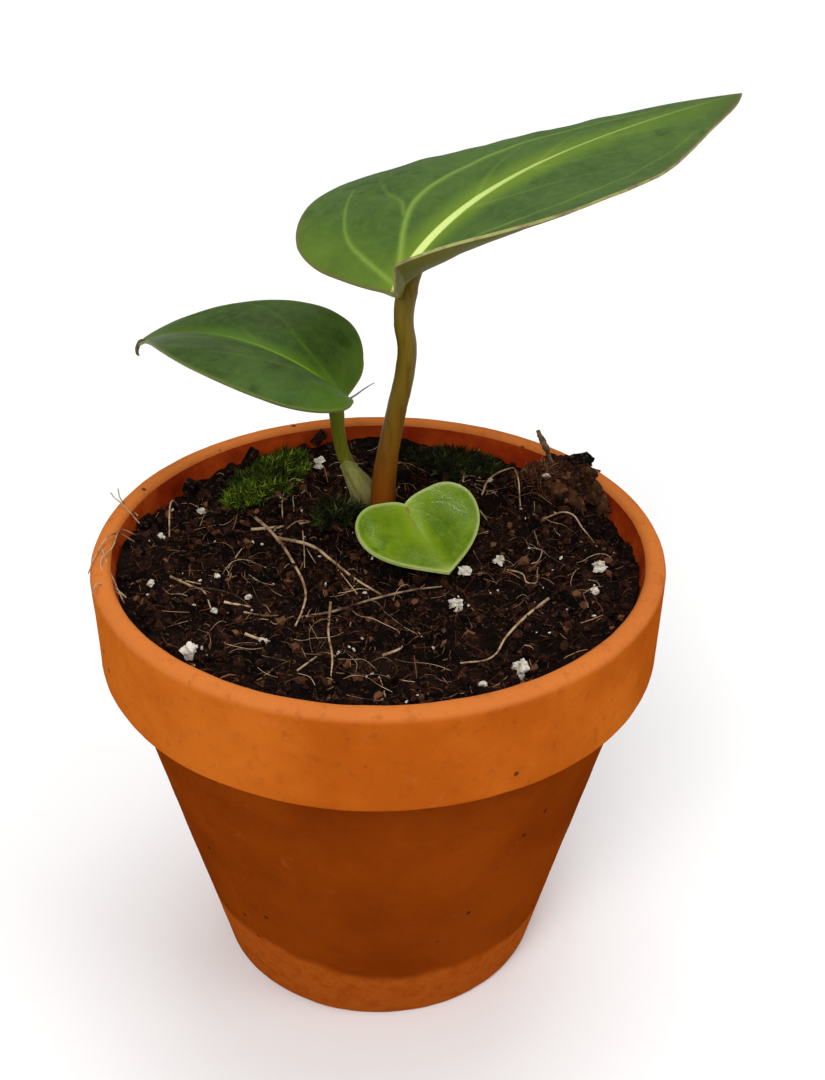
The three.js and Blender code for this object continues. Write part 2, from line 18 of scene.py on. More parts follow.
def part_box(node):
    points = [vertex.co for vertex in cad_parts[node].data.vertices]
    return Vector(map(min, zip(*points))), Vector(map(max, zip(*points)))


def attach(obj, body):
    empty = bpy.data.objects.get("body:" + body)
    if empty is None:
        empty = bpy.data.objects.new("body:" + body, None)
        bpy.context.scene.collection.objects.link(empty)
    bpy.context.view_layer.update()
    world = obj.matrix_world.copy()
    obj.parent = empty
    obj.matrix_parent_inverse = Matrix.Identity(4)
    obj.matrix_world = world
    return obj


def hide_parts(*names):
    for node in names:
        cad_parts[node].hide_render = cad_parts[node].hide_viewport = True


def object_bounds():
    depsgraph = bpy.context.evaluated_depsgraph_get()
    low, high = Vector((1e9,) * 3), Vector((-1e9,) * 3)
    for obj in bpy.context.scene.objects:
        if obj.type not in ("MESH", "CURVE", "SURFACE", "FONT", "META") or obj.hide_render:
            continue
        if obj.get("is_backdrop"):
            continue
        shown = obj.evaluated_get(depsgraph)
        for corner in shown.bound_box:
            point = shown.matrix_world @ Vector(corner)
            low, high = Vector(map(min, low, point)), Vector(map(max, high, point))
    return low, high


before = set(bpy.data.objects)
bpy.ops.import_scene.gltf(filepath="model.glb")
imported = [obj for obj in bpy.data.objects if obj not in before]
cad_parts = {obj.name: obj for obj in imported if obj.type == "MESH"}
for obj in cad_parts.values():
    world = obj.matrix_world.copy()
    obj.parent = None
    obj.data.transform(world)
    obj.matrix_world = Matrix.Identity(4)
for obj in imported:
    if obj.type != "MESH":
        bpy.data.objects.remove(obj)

cad_low, cad_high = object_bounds()
pot_low, pot_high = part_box("terracotta_pot")
MM = 0.001
axis_x = (pot_low.x + pot_high.x) / 2
axis_y = (pot_low.y + pot_high.y) / 2
pot_axis = Vector((axis_x, axis_y, 0))
print("pot axis", [round(value / MM, 2) for value in pot_axis])


# %% [markdown]
# ## Working in the pot's own millimetres
# A potter measures from the middle of the wheel, so places here are given in
# millimetres from the pot's axis and from the table it stands on. One helper turns
# them into Blender's metres. A second one picks a place on the soil by its
# direction and its share of the way to the wall.

# %% Places on the pot
SOIL_LEVEL = 80
SOIL_RADIUS = 45.44


def at(x, y, z):
    return pot_axis + Vector((x, y, z)) * MM


def place(direction, share):
    angle = math.radians(direction)
    return SOIL_RADIUS * share * math.cos(angle), SOIL_RADIUS * share * math.sin(angle)


print("soil radius in mm", SOIL_RADIUS)

# %% [markdown]
# ## The camera
# The viewpoint is a little above the plant and straight in front of it, as when
# somebody looks down at a pot on a table from arm's length. The lens is a short
# telephoto, so the round rim is seen as an ellipse without much distortion.

# %% Camera
CAMERA_PLACE = (4.025, -238.947, 229.353)
CAMERA_PITCH = 31.158
CAMERA_YAW = 0.441
CAMERA_ROLL = 0.592
camera_data = bpy.data.cameras.new("view_camera")
camera_data.lens = 53.26
camera_data.sensor_width = 36
camera_data.sensor_fit = "AUTO"
camera_data.clip_start = 0.01
camera_data.clip_end = 20
camera = bpy.data.objects.new("view_camera", camera_data)
bpy.context.scene.collection.objects.link(camera)
turn = Matrix.Rotation(-math.radians(CAMERA_YAW), 4, "Z")
tilt = Matrix.Rotation(math.radians(90 - CAMERA_PITCH), 4, "X")
lean = Matrix.Rotation(math.radians(CAMERA_ROLL), 4, "Z")
camera.matrix_world = Matrix.Translation(at(*CAMERA_PLACE)) @ turn @ tilt @ lean
bpy.context.scene.camera = camera
bpy.context.scene.view_settings.view_transform = "Standard"
print("camera at", [round(value, 3) for value in camera.location])

# %% [markdown]
# ## Soft studio light
# Leaves show their colour best under a large soft lamp, and a small hard one would
# only give them glare. A big lamp stands above the camera, weaker ones at the right
# and above, and the pale world fills the shadows. A last lamp lights the far floor.

# %% Lights and floor
def soft_light(name, position, size, power):
    data = bpy.data.lights.new(name, "AREA")
    data.shape = "SQUARE"
    data.size = size
    data.energy = power
    lamp = bpy.data.objects.new(name, data)
    bpy.context.scene.collection.objects.link(lamp)
    lamp.location = Vector(position)
    look = Vector((0, 0, 0.07)) - lamp.location
    lamp.rotation_euler = look.to_track_quat("-Z", "Y").to_euler()
    return lamp


soft_light("lamp_front", (-0.25, -0.75, 0.75), 0.5, 6.3)
soft_light("lamp_right", (0.8, -0.35, 0.55), 0.5, 2.4)
soft_light("lamp_above", (0.05, 0.25, 1.0), 0.7, 4.2)
far_lamp = soft_light("lamp_far_floor", (0, 2.3, 1.3), 1.6, 30)
far_lamp.rotation_euler = (0, 0, 0)
far_lamp.data.spread = math.radians(120)
world = bpy.data.worlds.new("pale_world")
world.use_nodes = True
world.node_tree.nodes["Background"].inputs["Color"].default_value = (1, 1, 1, 1)
world.node_tree.nodes["Background"].inputs["Strength"].default_value = 0.42
bpy.context.scene.world = world
bpy.ops.object.select_all(action="DESELECT")
bpy.ops.mesh.primitive_plane_add(size=8, location=(0, 0, -0.00005))
floor = bpy.context.object
floor.name = "floor"
floor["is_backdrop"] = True
print("floor", floor.dimensions[:])


# %% [markdown]
# ## Small helpers for finishes
# A finish here is always a few nodes: where on the piece (Object coordinates or an
# attribute of its mesh), a pattern, and a colour. These helpers add one node each
# and give back its output, so that a material reads from top to bottom. The plainest
# finishes, two tones mixed by one noise and a little relief, share the last helper.
# Colours are written as screen values from 0 to 255 and turned into linear light.

# %% Material helpers
def paint(red, green, blue):
    linear = []
    for value in (red, green, blue):
        share = value / 255
        if share <= 0.04045:
            linear.append(share / 12.92)
        else:
            linear.append(((share + 0.055) / 1.055) ** 2.4)
    return (*linear, 1)


def new_finish(name, roughness, specular=0.3):
    material = bpy.data.materials.new(name)
    material.use_nodes = True
    shader = material.node_tree.nodes["Principled BSDF"]
    shader.inputs["Roughness"].default_value = roughness
    shader.inputs["Specular IOR Level"].default_value = specular
    return material


def add_node(material, kind, settings, inputs):
    made = material.node_tree.nodes.new(kind)
    for key, value in settings.items():
        setattr(made, key, value)
    for key, value in inputs.items():
        if isinstance(value, bpy.types.NodeSocket):
            material.node_tree.links.new(value, made.inputs[key])
        else:
            made.inputs[key].default_value = value
    return made


def coordinates(material):
    return add_node(material, "ShaderNodeTexCoord", {}, {}).outputs["Object"]


def attribute(material, name):
    return add_node(material, "ShaderNodeAttribute", {"attribute_name": name}, {}).outputs["Fac"]


def stretched(material, scale):
    mapping = add_node(material, "ShaderNodeMapping", {}, {"Vector": coordinates(material)})
    mapping.inputs["Location"].default_value = -pot_axis
    mapping.inputs["Scale"].default_value = scale
    mapping.vector_type = "POINT"
    return mapping.outputs["Vector"]


def cloud(material, scale, detail=4, roughness=0.55, where=None):
    inputs = {
        "Vector": where or coordinates(material),
        "Scale": scale,
        "Detail": detail,
        "Roughness": roughness,
    }
    return add_node(material, "ShaderNodeTexNoise", {}, inputs).outputs["Fac"]


def cells(material, scale):
    inputs = {"Vector": coordinates(material), "Scale": scale}
    return add_node(material, "ShaderNodeTexVoronoi", {}, inputs).outputs["Distance"]


def spread(material, value, low, high, to_low=0.0, to_high=1.0):
    inputs = {0: value, 1: low, 2: high, 3: to_low, 4: to_high}
    settings = {"interpolation_type": "SMOOTHSTEP"}
    return add_node(material, "ShaderNodeMapRange", settings, inputs).outputs[0]


def maths(material, operation, first, second=0.0):
    settings = {"operation": operation}
    return add_node(material, "ShaderNodeMath", settings, {0: first, 1: second}).outputs[0]


def mixed(material, share, first, second, blend="MIX"):
    settings = {"data_type": "RGBA", "blend_type": blend}
    return add_node(material, "ShaderNodeMix", settings, {0: share, 6: first, 7: second}).outputs[2]


def bumps(material, height, depth):
    inputs = {"Height": height, "Distance": depth, "Strength": 1.0}
    made = add_node(material, "ShaderNodeBump", {}, inputs)
    shader = material.node_tree.nodes["Principled BSDF"]
    material.node_tree.links.new(made.outputs["Normal"], shader.inputs["Normal"])


def feed(material, socket, value):
    shader = material.node_tree.nodes["Principled BSDF"]
    material.node_tree.links.new(value, shader.inputs[socket])


def two_toned(name, gloss, pattern, share, first, second, relief, depth):
    finish = new_finish(name, *gloss)
    tone = cloud(finish, *pattern)
    feed(finish, "Base Color", mixed(finish, spread(finish, tone, *share), first, second))
    height = cloud(finish, *relief) if relief else tone
    bumps(finish, height, depth)
    return finish


floor_finish = new_finish("pale_floor", 0.9, 0.0)
floor_tone = spread(floor_finish, cloud(floor_finish, 3), 0.3, 0.7, 0.0, 1.0)
floor_colour = mixed(floor_finish, floor_tone, (0.93, 0.93, 0.93, 1), (0.95, 0.95, 0.95, 1))
feed(floor_finish, "Base Color", floor_colour)
floor.data.materials.append(floor_finish)
print("helpers ready")


# %% [markdown]
# ## Small helpers for meshes
# Operators act on whatever is selected, so each step first clears the selection.
# Finished pieces keep their place in the mesh and ride on the one body of the plant.
# A piece is also measured: a closed mesh has no edge with fewer or more than two faces.

# %% Mesh helpers
def clear_selection():
    if bpy.context.mode != "OBJECT":
        bpy.ops.object.mode_set(mode="OBJECT")
    bpy.ops.object.select_all(action="DESELECT")


def pick(piece):
    clear_selection()
    piece.select_set(True)
    bpy.context.view_layer.objects.active = piece


def apply_modifier(piece, kind, **settings):
    pick(piece)
    modifier = piece.modifiers.new(kind.lower(), kind)
    for key, value in settings.items():
        setattr(modifier, key, value)
    bpy.ops.object.modifier_apply(modifier=modifier.name)


def set_in_place(piece):
    pick(piece)
    bpy.ops.object.transform_apply(location=True, rotation=True, scale=True)


def tidy_mesh(piece, distance=0.000002):
    pick(piece)
    bpy.ops.object.mode_set(mode="EDIT")
    bpy.ops.mesh.select_all(action="SELECT")
    bpy.ops.mesh.remove_doubles(threshold=distance)
    bpy.ops.mesh.normals_make_consistent(inside=False)
    bpy.ops.object.mode_set(mode="OBJECT")


def smooth(piece, angle=45):
    pick(piece)
    bpy.ops.object.shade_smooth_by_angle(angle=math.radians(angle))


def settle(piece, name, materials, slot, *nodes):
    piece.name = name
    piece.data.name = name
    finish_numbers = np.zeros(len(piece.data.polygons), int)
    piece.data.polygons.foreach_get("material_index", finish_numbers)
    piece.data.materials.clear()
    for material in materials:
        piece.data.materials.append(material)
    piece.data.polygons.foreach_set("material_index", finish_numbers)
    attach(piece, "root")
    if nodes:
        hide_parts(*nodes)
    uses = np.zeros(len(piece.data.edges), int)
    loops = np.zeros(len(piece.data.loops), int)
    piece.data.loops.foreach_get("edge_index", loops)
    np.add.at(uses, loops, 1)
    open_edges = int((uses != 2).sum())
    print(name, "faces", len(piece.data.polygons), "open edges", open_edges)
    return piece


# %% [markdown]
# ## The terracotta pot
# A small flower pot is pressed in a mould: a tapering body, a drain hole in the
# floor and a thick straight collar that lets pots be lifted and stacked. It could be
# turned from a profile in one step. Here it is drawn up ring by ring from the drain
# hole, as on a wheel, because each extrusion is then one part of the real wall.

# %% Draw the pot up in rings
POT_HEIGHT = 84.5
LIP_RADIUS = 50
LIP_INNER = 46.6
COLLAR_BOTTOM = 65.3
COLLAR_FOOT = 49.4
BODY_TOP = 45.9
BASE_RADIUS = 30.2
FLOOR_RADIUS = 27.88
FLOOR_TOP = 7
HOLE_RADIUS = 6
POT_SIDES = 180


def start_ring(radius, height, sides):
    clear_selection()
    spot = at(0, 0, height)
    bpy.ops.mesh.primitive_circle_add(vertices=sides, radius=radius * MM, location=spot)
    set_in_place(bpy.context.object)
    bpy.ops.object.mode_set(mode="EDIT")
    bpy.ops.mesh.select_all(action="SELECT")
    return bpy.context.object


def draw_ring(old, new):
    rise = (0, 0, (new[1] - old[1]) * MM)
    bpy.ops.mesh.extrude_region_move(TRANSFORM_OT_translate={"value": rise})
    grow = new[0] / old[0]
    middle = at(0, 0, new[1])
    bpy.ops.transform.resize(value=(grow, grow, 1), center_override=middle)


def steps_between(first, last, count):
    rows = []
    for step in range(1, count + 1):
        share = step / count
        radius = first[0] + (last[0] - first[0]) * share
        height = first[1] + (last[1] - first[1]) * share
        rows.append((radius, height))
    return rows


section = [(HOLE_RADIUS, 0)]
section += steps_between(section[-1], (BASE_RADIUS, 0), 6)
section += steps_between(section[-1], (BODY_TOP, COLLAR_BOTTOM), 24)
section += steps_between(section[-1], (COLLAR_FOOT, COLLAR_BOTTOM), 2)
section += steps_between(section[-1], (LIP_RADIUS, POT_HEIGHT), 8)
section += steps_between(section[-1], (LIP_INNER, POT_HEIGHT), 1)
section += steps_between(section[-1], (FLOOR_RADIUS, FLOOR_TOP), 20)
section += steps_between(section[-1], (HOLE_RADIUS, FLOOR_TOP), 5)
section += steps_between(section[-1], (HOLE_RADIUS, 0), 2)
pot = start_ring(*section[0], POT_SIDES)
for old, new in zip(section, section[1:]):
    draw_ring(old, new)
bpy.ops.object.mode_set(mode="OBJECT")
tidy_mesh(pot)
print("pot rings", len(section))

# %% [markdown]
# Clay edges are never sharp: the mould and the thumb round them. Each sharp ring is
# selected by its height and radius, and bevelled by its own amount, most at the lip.

# %% Round the pot's edges
def select_ring(piece, radius, height, reach=0.05):
    bpy.ops.object.mode_set(mode="OBJECT")
    on_ring = []
    for vertex in piece.data.vertices:
        from_axis = (vertex.co - pot_axis) / MM
        away = math.hypot(from_axis.x, from_axis.y)
        on_ring.append(abs(away - radius) < reach and abs(from_axis.z - height) < reach)
    for edge in piece.data.edges:
        edge.select = on_ring[edge.vertices[0]] and on_ring[edge.vertices[1]]
    for vertex in piece.data.vertices:
        vertex.select = on_ring[vertex.index]
    bpy.ops.object.mode_set(mode="EDIT")


pick(pot)
bpy.ops.object.mode_set(mode="EDIT")
bpy.context.tool_settings.mesh_select_mode = (False, True, False)
ROUNDINGS = {
    (LIP_RADIUS, POT_HEIGHT): 2.0,
    (LIP_INNER, POT_HEIGHT): 1.0,
    (COLLAR_FOOT, COLLAR_BOTTOM): 0.8,
    (BODY_TOP, COLLAR_BOTTOM): 0.7,
    (BASE_RADIUS, 0): 1.0,
    (HOLE_RADIUS, 0): 0.5,
}
for (radius, height), amount in ROUNDINGS.items():
    bpy.ops.mesh.select_all(action="DESELECT")
    select_ring(pot, radius, height)
    bpy.ops.mesh.bevel(offset=amount * MM, segments=5, affect="EDGES")
bpy.ops.object.mode_set(mode="OBJECT")
tidy_mesh(pot)


def roughen(piece, size, depth, name):
    texture = bpy.data.textures.new(name, "CLOUDS")
    texture.noise_scale = size * MM
    texture.noise_depth = 3
    apply_modifier(piece, "DISPLACE", texture=texture, strength=depth * MM, mid_level=0.5)


roughen(pot, 14, 0.3, "hand_waviness")
roughen(pot, 2.5, 0.1, "clay_grain")
smooth(pot, 40)
print("pot size in mm", [round(side / MM, 1) for side in pot.dimensions])

# %% [markdown]
# ## The pot's finish
# Fired clay is orange and matt. This pot has been watered: the body is soaked and
# darker brown, a drier and paler band is left above the foot with a wavy tide line,
# and the collar above the soil has stayed bright. Fine grog pits and a few dark
# specks of dirt come from noise, and a pale band painted round the top of the lip
# stands for its highlight. All of it is laid out by height on the pot.

# %% Terracotta
TIDE_HEIGHT = 0.0130
TIDE_SLANT = -0.11


def height_on(material):
    split = add_node(material, "ShaderNodeSeparateXYZ", {}, {"Vector": coordinates(material)})
    return split.outputs["Z"]


def side_on(material):
    split = add_node(material, "ShaderNodeSeparateXYZ", {}, {"Vector": coordinates(material)})
    return maths(material, "SUBTRACT", split.outputs["X"], axis_x)


clay = new_finish("terracotta_clay", 0.85, 0.0)
wide_cloud = cloud(clay, 34, 5, 0.6)
fine_cloud = cloud(clay, 420, 6, 0.7)
bright_share = spread(clay, wide_cloud, 0.35, 0.68)
bright = mixed(clay, bright_share, paint(163, 77, 16), paint(186, 97, 28))
soaked = mixed(clay, spread(clay, wide_cloud, 0.3, 0.7), paint(108, 42, 4), paint(128, 55, 8))
dried = mixed(clay, spread(clay, fine_cloud, 0.3, 0.7), paint(142, 64, 14), paint(162, 80, 24))
wave = spread(clay, cloud(clay, 30, 3, 0.5), 0.3, 0.7, -0.0016, 0.0018)
slant = maths(clay, "MULTIPLY", side_on(clay), TIDE_SLANT)
tide = maths(clay, "SUBTRACT", height_on(clay), maths(clay, "ADD", wave, TIDE_HEIGHT))
tide = maths(clay, "SUBTRACT", tide, slant)
is_soaked = spread(clay, tide, -0.0010, 0.0014)
lower = mixed(clay, is_soaked, dried, soaked)
above_step = spread(clay, height_on(clay), 0.0646, 0.0660)
whole = mixed(clay, above_step, lower, bright)
# Painted highlight: a pale band round the top of the lip stands for the light caught by its rounding.
painted_lip_highlight = spread(clay, height_on(clay), 0.0826, 0.0838, 0.0, 0.6)
whole = mixed(clay, painted_lip_highlight, whole, paint(206, 122, 62))
whole = mixed(clay, spread(clay, fine_cloud, 0.52, 0.75, 0.0, 0.35), whole, paint(96, 44, 18))
powder_share = spread(clay, cloud(clay, 120, 5, 0.7), 0.62, 0.8, 0.0, 0.14)
powder = mixed(clay, powder_share, whole, paint(214, 140, 88))
dirt = spread(clay, cells(clay, 260), 0.09, 0.15, 1.0, 0.0)
dirt = maths(clay, "MULTIPLY", dirt, spread(clay, cloud(clay, 55, 2), 0.56, 0.62))
dirt = maths(clay, "MULTIPLY", dirt, 0.8)
feed(clay, "Base Color", mixed(clay, dirt, powder, paint(40, 20, 12)))
bumps(clay, maths(clay, "ADD", fine_cloud, cloud(clay, 1500, 3)), 0.00012)

# %% [markdown]
# Inside, the wall above the soil is damp and in shade, so it is a deeper red-brown.
# The faces of the inner wall are found by their place, and get their own finish.

# %% Damp inner wall
damp_clay = two_toned(
    "damp_inner_clay", (0.75, 0.03), (90, 5, 0.6), (0.35, 0.7),
    paint(126, 34, 6), paint(160, 62, 14), (700, 4), 0.0002,
)
settle(pot, "pot_thrown", [clay, damp_clay], "terracotta", "terracotta_pot")
inner_faces = 0
for face in pot.data.polygons:
    from_axis = (face.center - pot_axis) / MM
    away = math.hypot(from_axis.x, from_axis.y)
    inner_wall = FLOOR_RADIUS + (LIP_INNER - FLOOR_RADIUS) * (from_axis.z - FLOOR_TOP) / 77.5
    inside = from_axis.z > 6 and from_axis.z < 83.4 and away < inner_wall + 0.6
    face.material_index = 1 if inside else 0
    inner_faces += inside
print("inner faces", inner_faces)

# %% [markdown]
# ## The bed of peat
# Potting peat is a felt of dark fibres and crumbs. The bed is one closed block that
# fills the pot: drawn up the wall in rings, then in to the middle in many fine rings
# that carry the rises and hollows of the bed and a layered noise for its lumps.

# %% Soil block
SOIL_SIDES = 300
SOIL_RINGS = 96
RISES = [
    (40, 0.87, 5, 5),
    (178, 1, 9, 1.6),
    (92, 1, 10, 1.3),
    (-15, 1, 8, 1.6),
    (8, 0.2, 12, -2),
    (-78, 0.58, 12, -1.2),
]


def bed_height(x, y):
    height = SOIL_LEVEL + 0.3 * math.sin(0.31 * x + 1.1) * math.cos(0.27 * y)
    height += 0.25 * math.sin(0.17 * x - 0.41 * y + 2)
    for direction, share, reach, amount in RISES:
        rise_x, rise_y = place(direction, share)
        away = math.hypot(x - rise_x, y - rise_y)
        height += amount * math.exp(-((away / reach) ** 2))
    return height


def wall_radius(height):
    return LIP_INNER - 0.2447 * (POT_HEIGHT - 1 - height) - 0.25


bed_section = [(wall_radius(FLOOR_TOP) + 0.2, FLOOR_TOP + 0.2)]
bed_section += steps_between(bed_section[-1], (wall_radius(SOIL_LEVEL), SOIL_LEVEL), 8)
bed_section += steps_between(bed_section[-1], (0.2, SOIL_LEVEL), SOIL_RINGS)
bed = start_ring(*bed_section[0], SOIL_SIDES)
bpy.ops.mesh.edge_face_add()
for old, new in zip(bed_section, bed_section[1:]):
    draw_ring(old, new)
bpy.ops.mesh.merge(type="CENTER")
bpy.ops.object.mode_set(mode="OBJECT")
tidy_mesh(bed, 0.0000005)
for vertex in bed.data.vertices:
    x, y, z = (vertex.co - pot_axis) / MM
    if z < SOIL_LEVEL - 0.5:
        continue
    away = math.hypot(x, y)
    spot = Vector((x, y, 0))
    lumps = noise.fractal(spot * 0.22, 1.0, 2.0, 4) * 1.15
    crumbs = abs(noise.noise(spot * 1.3)) * 0.9 + noise.noise(spot * 3.1) * 0.28
    height = bed_height(x, y) + lumps + crumbs - 0.35
    wall = wall_radius(height)
    if away > wall - 0.3:
        x *= wall / away
        y *= wall / away
    vertex.co = at(x, y, height)
smooth(bed, 60)
print("bed size in mm", [round(side / MM, 1) for side in bed.dimensions])

# %% [markdown]
# Wet peat is almost black with brown fibres, and only its raised crumbs catch light.
# A low specular value keeps it dark, because a shiny finish would look like mud.

# %% Peat finish
peat = new_finish("dark_peat", 0.92, 0.05)
peat_wide = cloud(peat, 160, 6, 0.65)
peat_fine = cloud(peat, 900, 5, 0.7)
peat_base = mixed(peat, spread(peat, peat_wide, 0.38, 0.66), paint(5, 3, 2), paint(28, 15, 10))
peat_top = mixed(peat, spread(peat, peat_fine, 0.56, 0.72, 0.0, 0.6), peat_base, paint(70, 42, 27))
feed(peat, "Base Color", peat_top)
bumps(peat, peat_fine, 0.0004)
settle(bed, "peat_bed", [peat], "peat", "soil")


# %% [markdown]
# ## The shape of a leaf
# A leaf blade is first thought of flat, like a pressed leaf: a heart outline with a
# midrib down its middle, drawn with three curves for each half. Then it is bent: the
# midrib is led through the air by its rise and heading, and each half is lifted and
# curled across it. The same values shaped the CAD blades, so both agree.

# %% Leaf values
LARGE = {
    "stalk_top": (3.1, 16.7, 45), "length": 83, "half_width": 31.2, "widest_at": 21,
    "lobe_reach": 2.6, "lobe_width": 13, "tip_fullness": 0.4, "notch_reach": 0.8,
    "right_share": 0.9, "heading": (48.8, 23.5, 2), "rise": (50, 7.5, 0.19),
    "roll": (-18.6, 3.2), "lobe_drop": 3, "left_lift": (41, -9),
    "left_curl": (-35, -68), "right_lift": (26, -14.2, 0.085),
    "right_curl": (44, 31.2, 0.114),
    "keel": 0.9, "tip_bulge": 2.0, "pucker": 0.3,
}
MIDDLE = {
    "stalk_top": (-7, 16.1, 24.8), "length": 50.5, "half_width": 18.1, "widest_at": 8,
    "lobe_reach": 1.4, "lobe_width": 7, "tip_fullness": 0.21, "notch_reach": 0.6,
    "right_share": 1.01, "heading": (169, 134, 1.24), "rise": (42, -33.7, 1.15),
    "roll": (12.3, -10.6), "lobe_drop": 11, "left_lift": (35.4, 5.5),
    "left_curl": (-76, -15), "right_lift": (19, 20), "right_curl": (5, -54),
    "keel": 0.6, "tip_bulge": 1.7, "pucker": 0.3,
}
SMALL = {
    "stalk_top": (4.6, 11.3, 5.2), "length": 17, "half_width": 12, "widest_at": 4.4,
    "lobe_reach": 1.6, "lobe_width": 6, "tip_fullness": 0.57, "notch_reach": 0.4,
    "right_share": 0.96, "heading": (-61.7, -60.5, 2), "rise": (-28.5, -9.3, 2),
    "roll": (7.3, -1.7), "lobe_drop": 10.7, "left_lift": (11.5, -5.5),
    "left_curl": (3, 3), "right_lift": (8.8, -0.7), "right_curl": (3, 3),
    "keel": 0.2, "tip_bulge": 0, "pucker": 0.42,
}
print("leaf lengths in mm", LARGE["length"], MIDDLE["length"], SMALL["length"])


# %% [markdown]
# The outline of half a leaf runs from the tip round the widest place and the lobe to
# the notch at the stalk. It is walked at even steps, so the mesh has even faces.

# %% Flat outline
def curve_points(start, first, second, end, count):
    share = np.linspace(0, 1, count)[:, None]
    back = 1 - share
    corners = [np.array(corner, float) for corner in (start, first, second, end)]
    line = back**3 * corners[0] + 3 * back**2 * share * corners[1]
    return line + 3 * back * share**2 * corners[2] + share**3 * corners[3]


def half_outline(leaf, count):
    length, width, widest = leaf["length"], leaf["half_width"], leaf["widest_at"]
    lobe, lobe_width, notch = leaf["lobe_reach"], leaf["lobe_width"], leaf["notch_reach"]
    tip_pull = (length - 0.35 * (length - widest), leaf["tip_fullness"] * width)
    wide_pull = (widest + 0.45 * (length - widest), width)
    front = curve_points((length, 0), tip_pull, wide_pull, (widest, width), 80)
    back_pull = (widest - 0.55 * (widest + lobe), width)
    lobe_pull = (-lobe, lobe_width + 0.6 * (width - lobe_width))
    shoulder = curve_points((widest, width), back_pull, lobe_pull, (-lobe, lobe_width), 60)
    in_pull = (-(notch + lobe) / 2, 0.12 * lobe_width)
    lobe_end = curve_points(
        (-lobe, lobe_width), (-lobe, 0.35 * lobe_width), in_pull, (-notch, 0), 30
    )
    line = np.vstack([front, shoulder[1:], lobe_end[1:]])
    walked = np.concatenate([[0], np.cumsum(np.hypot(*np.diff(line, axis=0).T))])
    even = np.linspace(0, walked[-1], count)
    return np.stack([np.interp(even, walked, line[:, k]) for k in (0, 1)], -1)


print("outline points", len(half_outline(LARGE, 150)))


# %% [markdown]
# Bending the flat leaf: the midrib's way is added up from many short steps. Across
# it, each half follows an arc whose lift and curl change along the leaf.

# %% Bend the leaf
def eased(share, reach):
    return (1 - np.exp(-share / reach)) / (1 - math.exp(-1 / reach))


def leaf_direction(rise, heading):
    flat = np.cos(rise)
    return np.stack([flat * np.cos(heading), flat * np.sin(heading), np.sin(rise)], -1)


def angle_along(values, share):
    at_stalk, at_tip = values[0], values[1]
    reach = values[2] if len(values) > 2 else None
    amount = share if reach is None else eased(share, reach)
    return np.radians(at_stalk + (at_tip - at_stalk) * amount)


def bend_leaf(leaf, along, across):
    length, width = leaf["length"], leaf["half_width"]
    steps = np.linspace(0, 1, 80)
    ways = leaf_direction(angle_along(leaf["rise"], steps), angle_along(leaf["heading"], steps))
    midrib = np.zeros((80, 3))
    midrib[1:] = np.cumsum((ways[1:] + ways[:-1]) / 2 * length / 79, axis=0)
    share = np.clip(along / length, 0, 1)
    points = np.stack([np.interp(share, steps, midrib[:, k]) for k in range(3)], -1)
    back_rise = math.radians(leaf["rise"][0] - leaf["lobe_drop"])
    back_way = leaf_direction(back_rise, math.radians(leaf["heading"][0]))
    points = points + np.minimum(along, 0)[:, None] * back_way
    heading = angle_along(leaf["heading"], share)
    tangent = leaf_direction(angle_along(leaf["rise"], share), heading)
    sideways = np.stack([-np.sin(heading), np.cos(heading), 0 * heading], -1)
    upwards = np.cross(tangent, sideways)
    roll = angle_along(leaf["roll"], share)[:, None]
    side = sideways * np.cos(roll) + upwards * np.sin(roll)
    up = upwards * np.cos(roll) - sideways * np.sin(roll)
    left = across >= 0
    lift = np.where(
        left, angle_along(leaf["left_lift"], share), angle_along(leaf["right_lift"], share)
    )
    curl = np.where(
        left, angle_along(leaf["left_curl"], share), angle_along(leaf["right_curl"], share)
    )
    curl = np.where(np.abs(curl) < 0.001, 0.001, curl) / width
    reach = np.abs(across)
    outwards = (np.sin(lift + curl * reach) - np.sin(lift)) / curl
    raised = (np.cos(lift) - np.cos(lift + curl * reach)) / curl
    points = points + side * (np.sign(across) * outwards)[:, None] + up * raised[:, None]
    base = np.array(leaf["stalk_top"]) + np.array((0, 0, SOIL_LEVEL))
    return points + base, up


def leaf_point(leaf, along, across=0.0):
    point, up = bend_leaf(leaf, np.array([float(along)]), np.array([float(across)]))
    return Vector(point[0]), Vector(up[0])


print("large leaf tip in mm", [round(value, 1) for value in leaf_point(LARGE, 83)[0]])


# %% [markdown]
# A blade mesh starts as a grid. One side of the grid becomes the way round the
# outline and the other the way from the stalk to the edge, like the spokes of a fan.
# Facts that the finish needs are kept as attributes: how far along and across a
# point is, how near the edge, and how near a side vein.

# %% Make a blade
def distance_to_line(points, line):
    best = np.full(len(points), 1e9)
    where = np.zeros(len(points))
    points_x = np.ascontiguousarray(points[:, 0])
    points_y = np.ascontiguousarray(points[:, 1])
    line = np.array(line, float)
    for index, (start, end) in enumerate(zip(line[:-1], line[1:])):
        way_x, way_y = float(end[0] - start[0]), float(end[1] - start[1])
        away_x, away_y = points_x - start[0], points_y - start[1]
        way_square = way_x**2 + way_y**2 + 1e-12
        share = np.clip((away_x * way_x + away_y * way_y) / way_square, 0, 1)
        gap = np.hypot(away_x - share * way_x, away_y - share * way_y)
        closer = gap < best
        best = np.where(closer, gap, best)
        where = np.where(closer, (index + share) / (len(line) - 1), where)
    return best, where


def smooth_line(points, count=40):
    points = np.array(points, float)
    walked = np.concatenate([[0], np.cumsum(np.hypot(*np.diff(points, axis=0).T))])
    steps = np.linspace(0, walked[-1], count)
    line = np.stack([np.interp(steps, walked, points[:, k]) for k in (0, 1)], -1)
    for _ in range(12):
        line[1:-1] = (line[:-2] + 2 * line[1:-1] + line[2:]) / 4
    return line


def keep_attribute(piece, name, values):
    made = piece.data.attributes.new(name, "FLOAT", "POINT")
    made.data.foreach_set("value", np.asarray(values, np.float32))


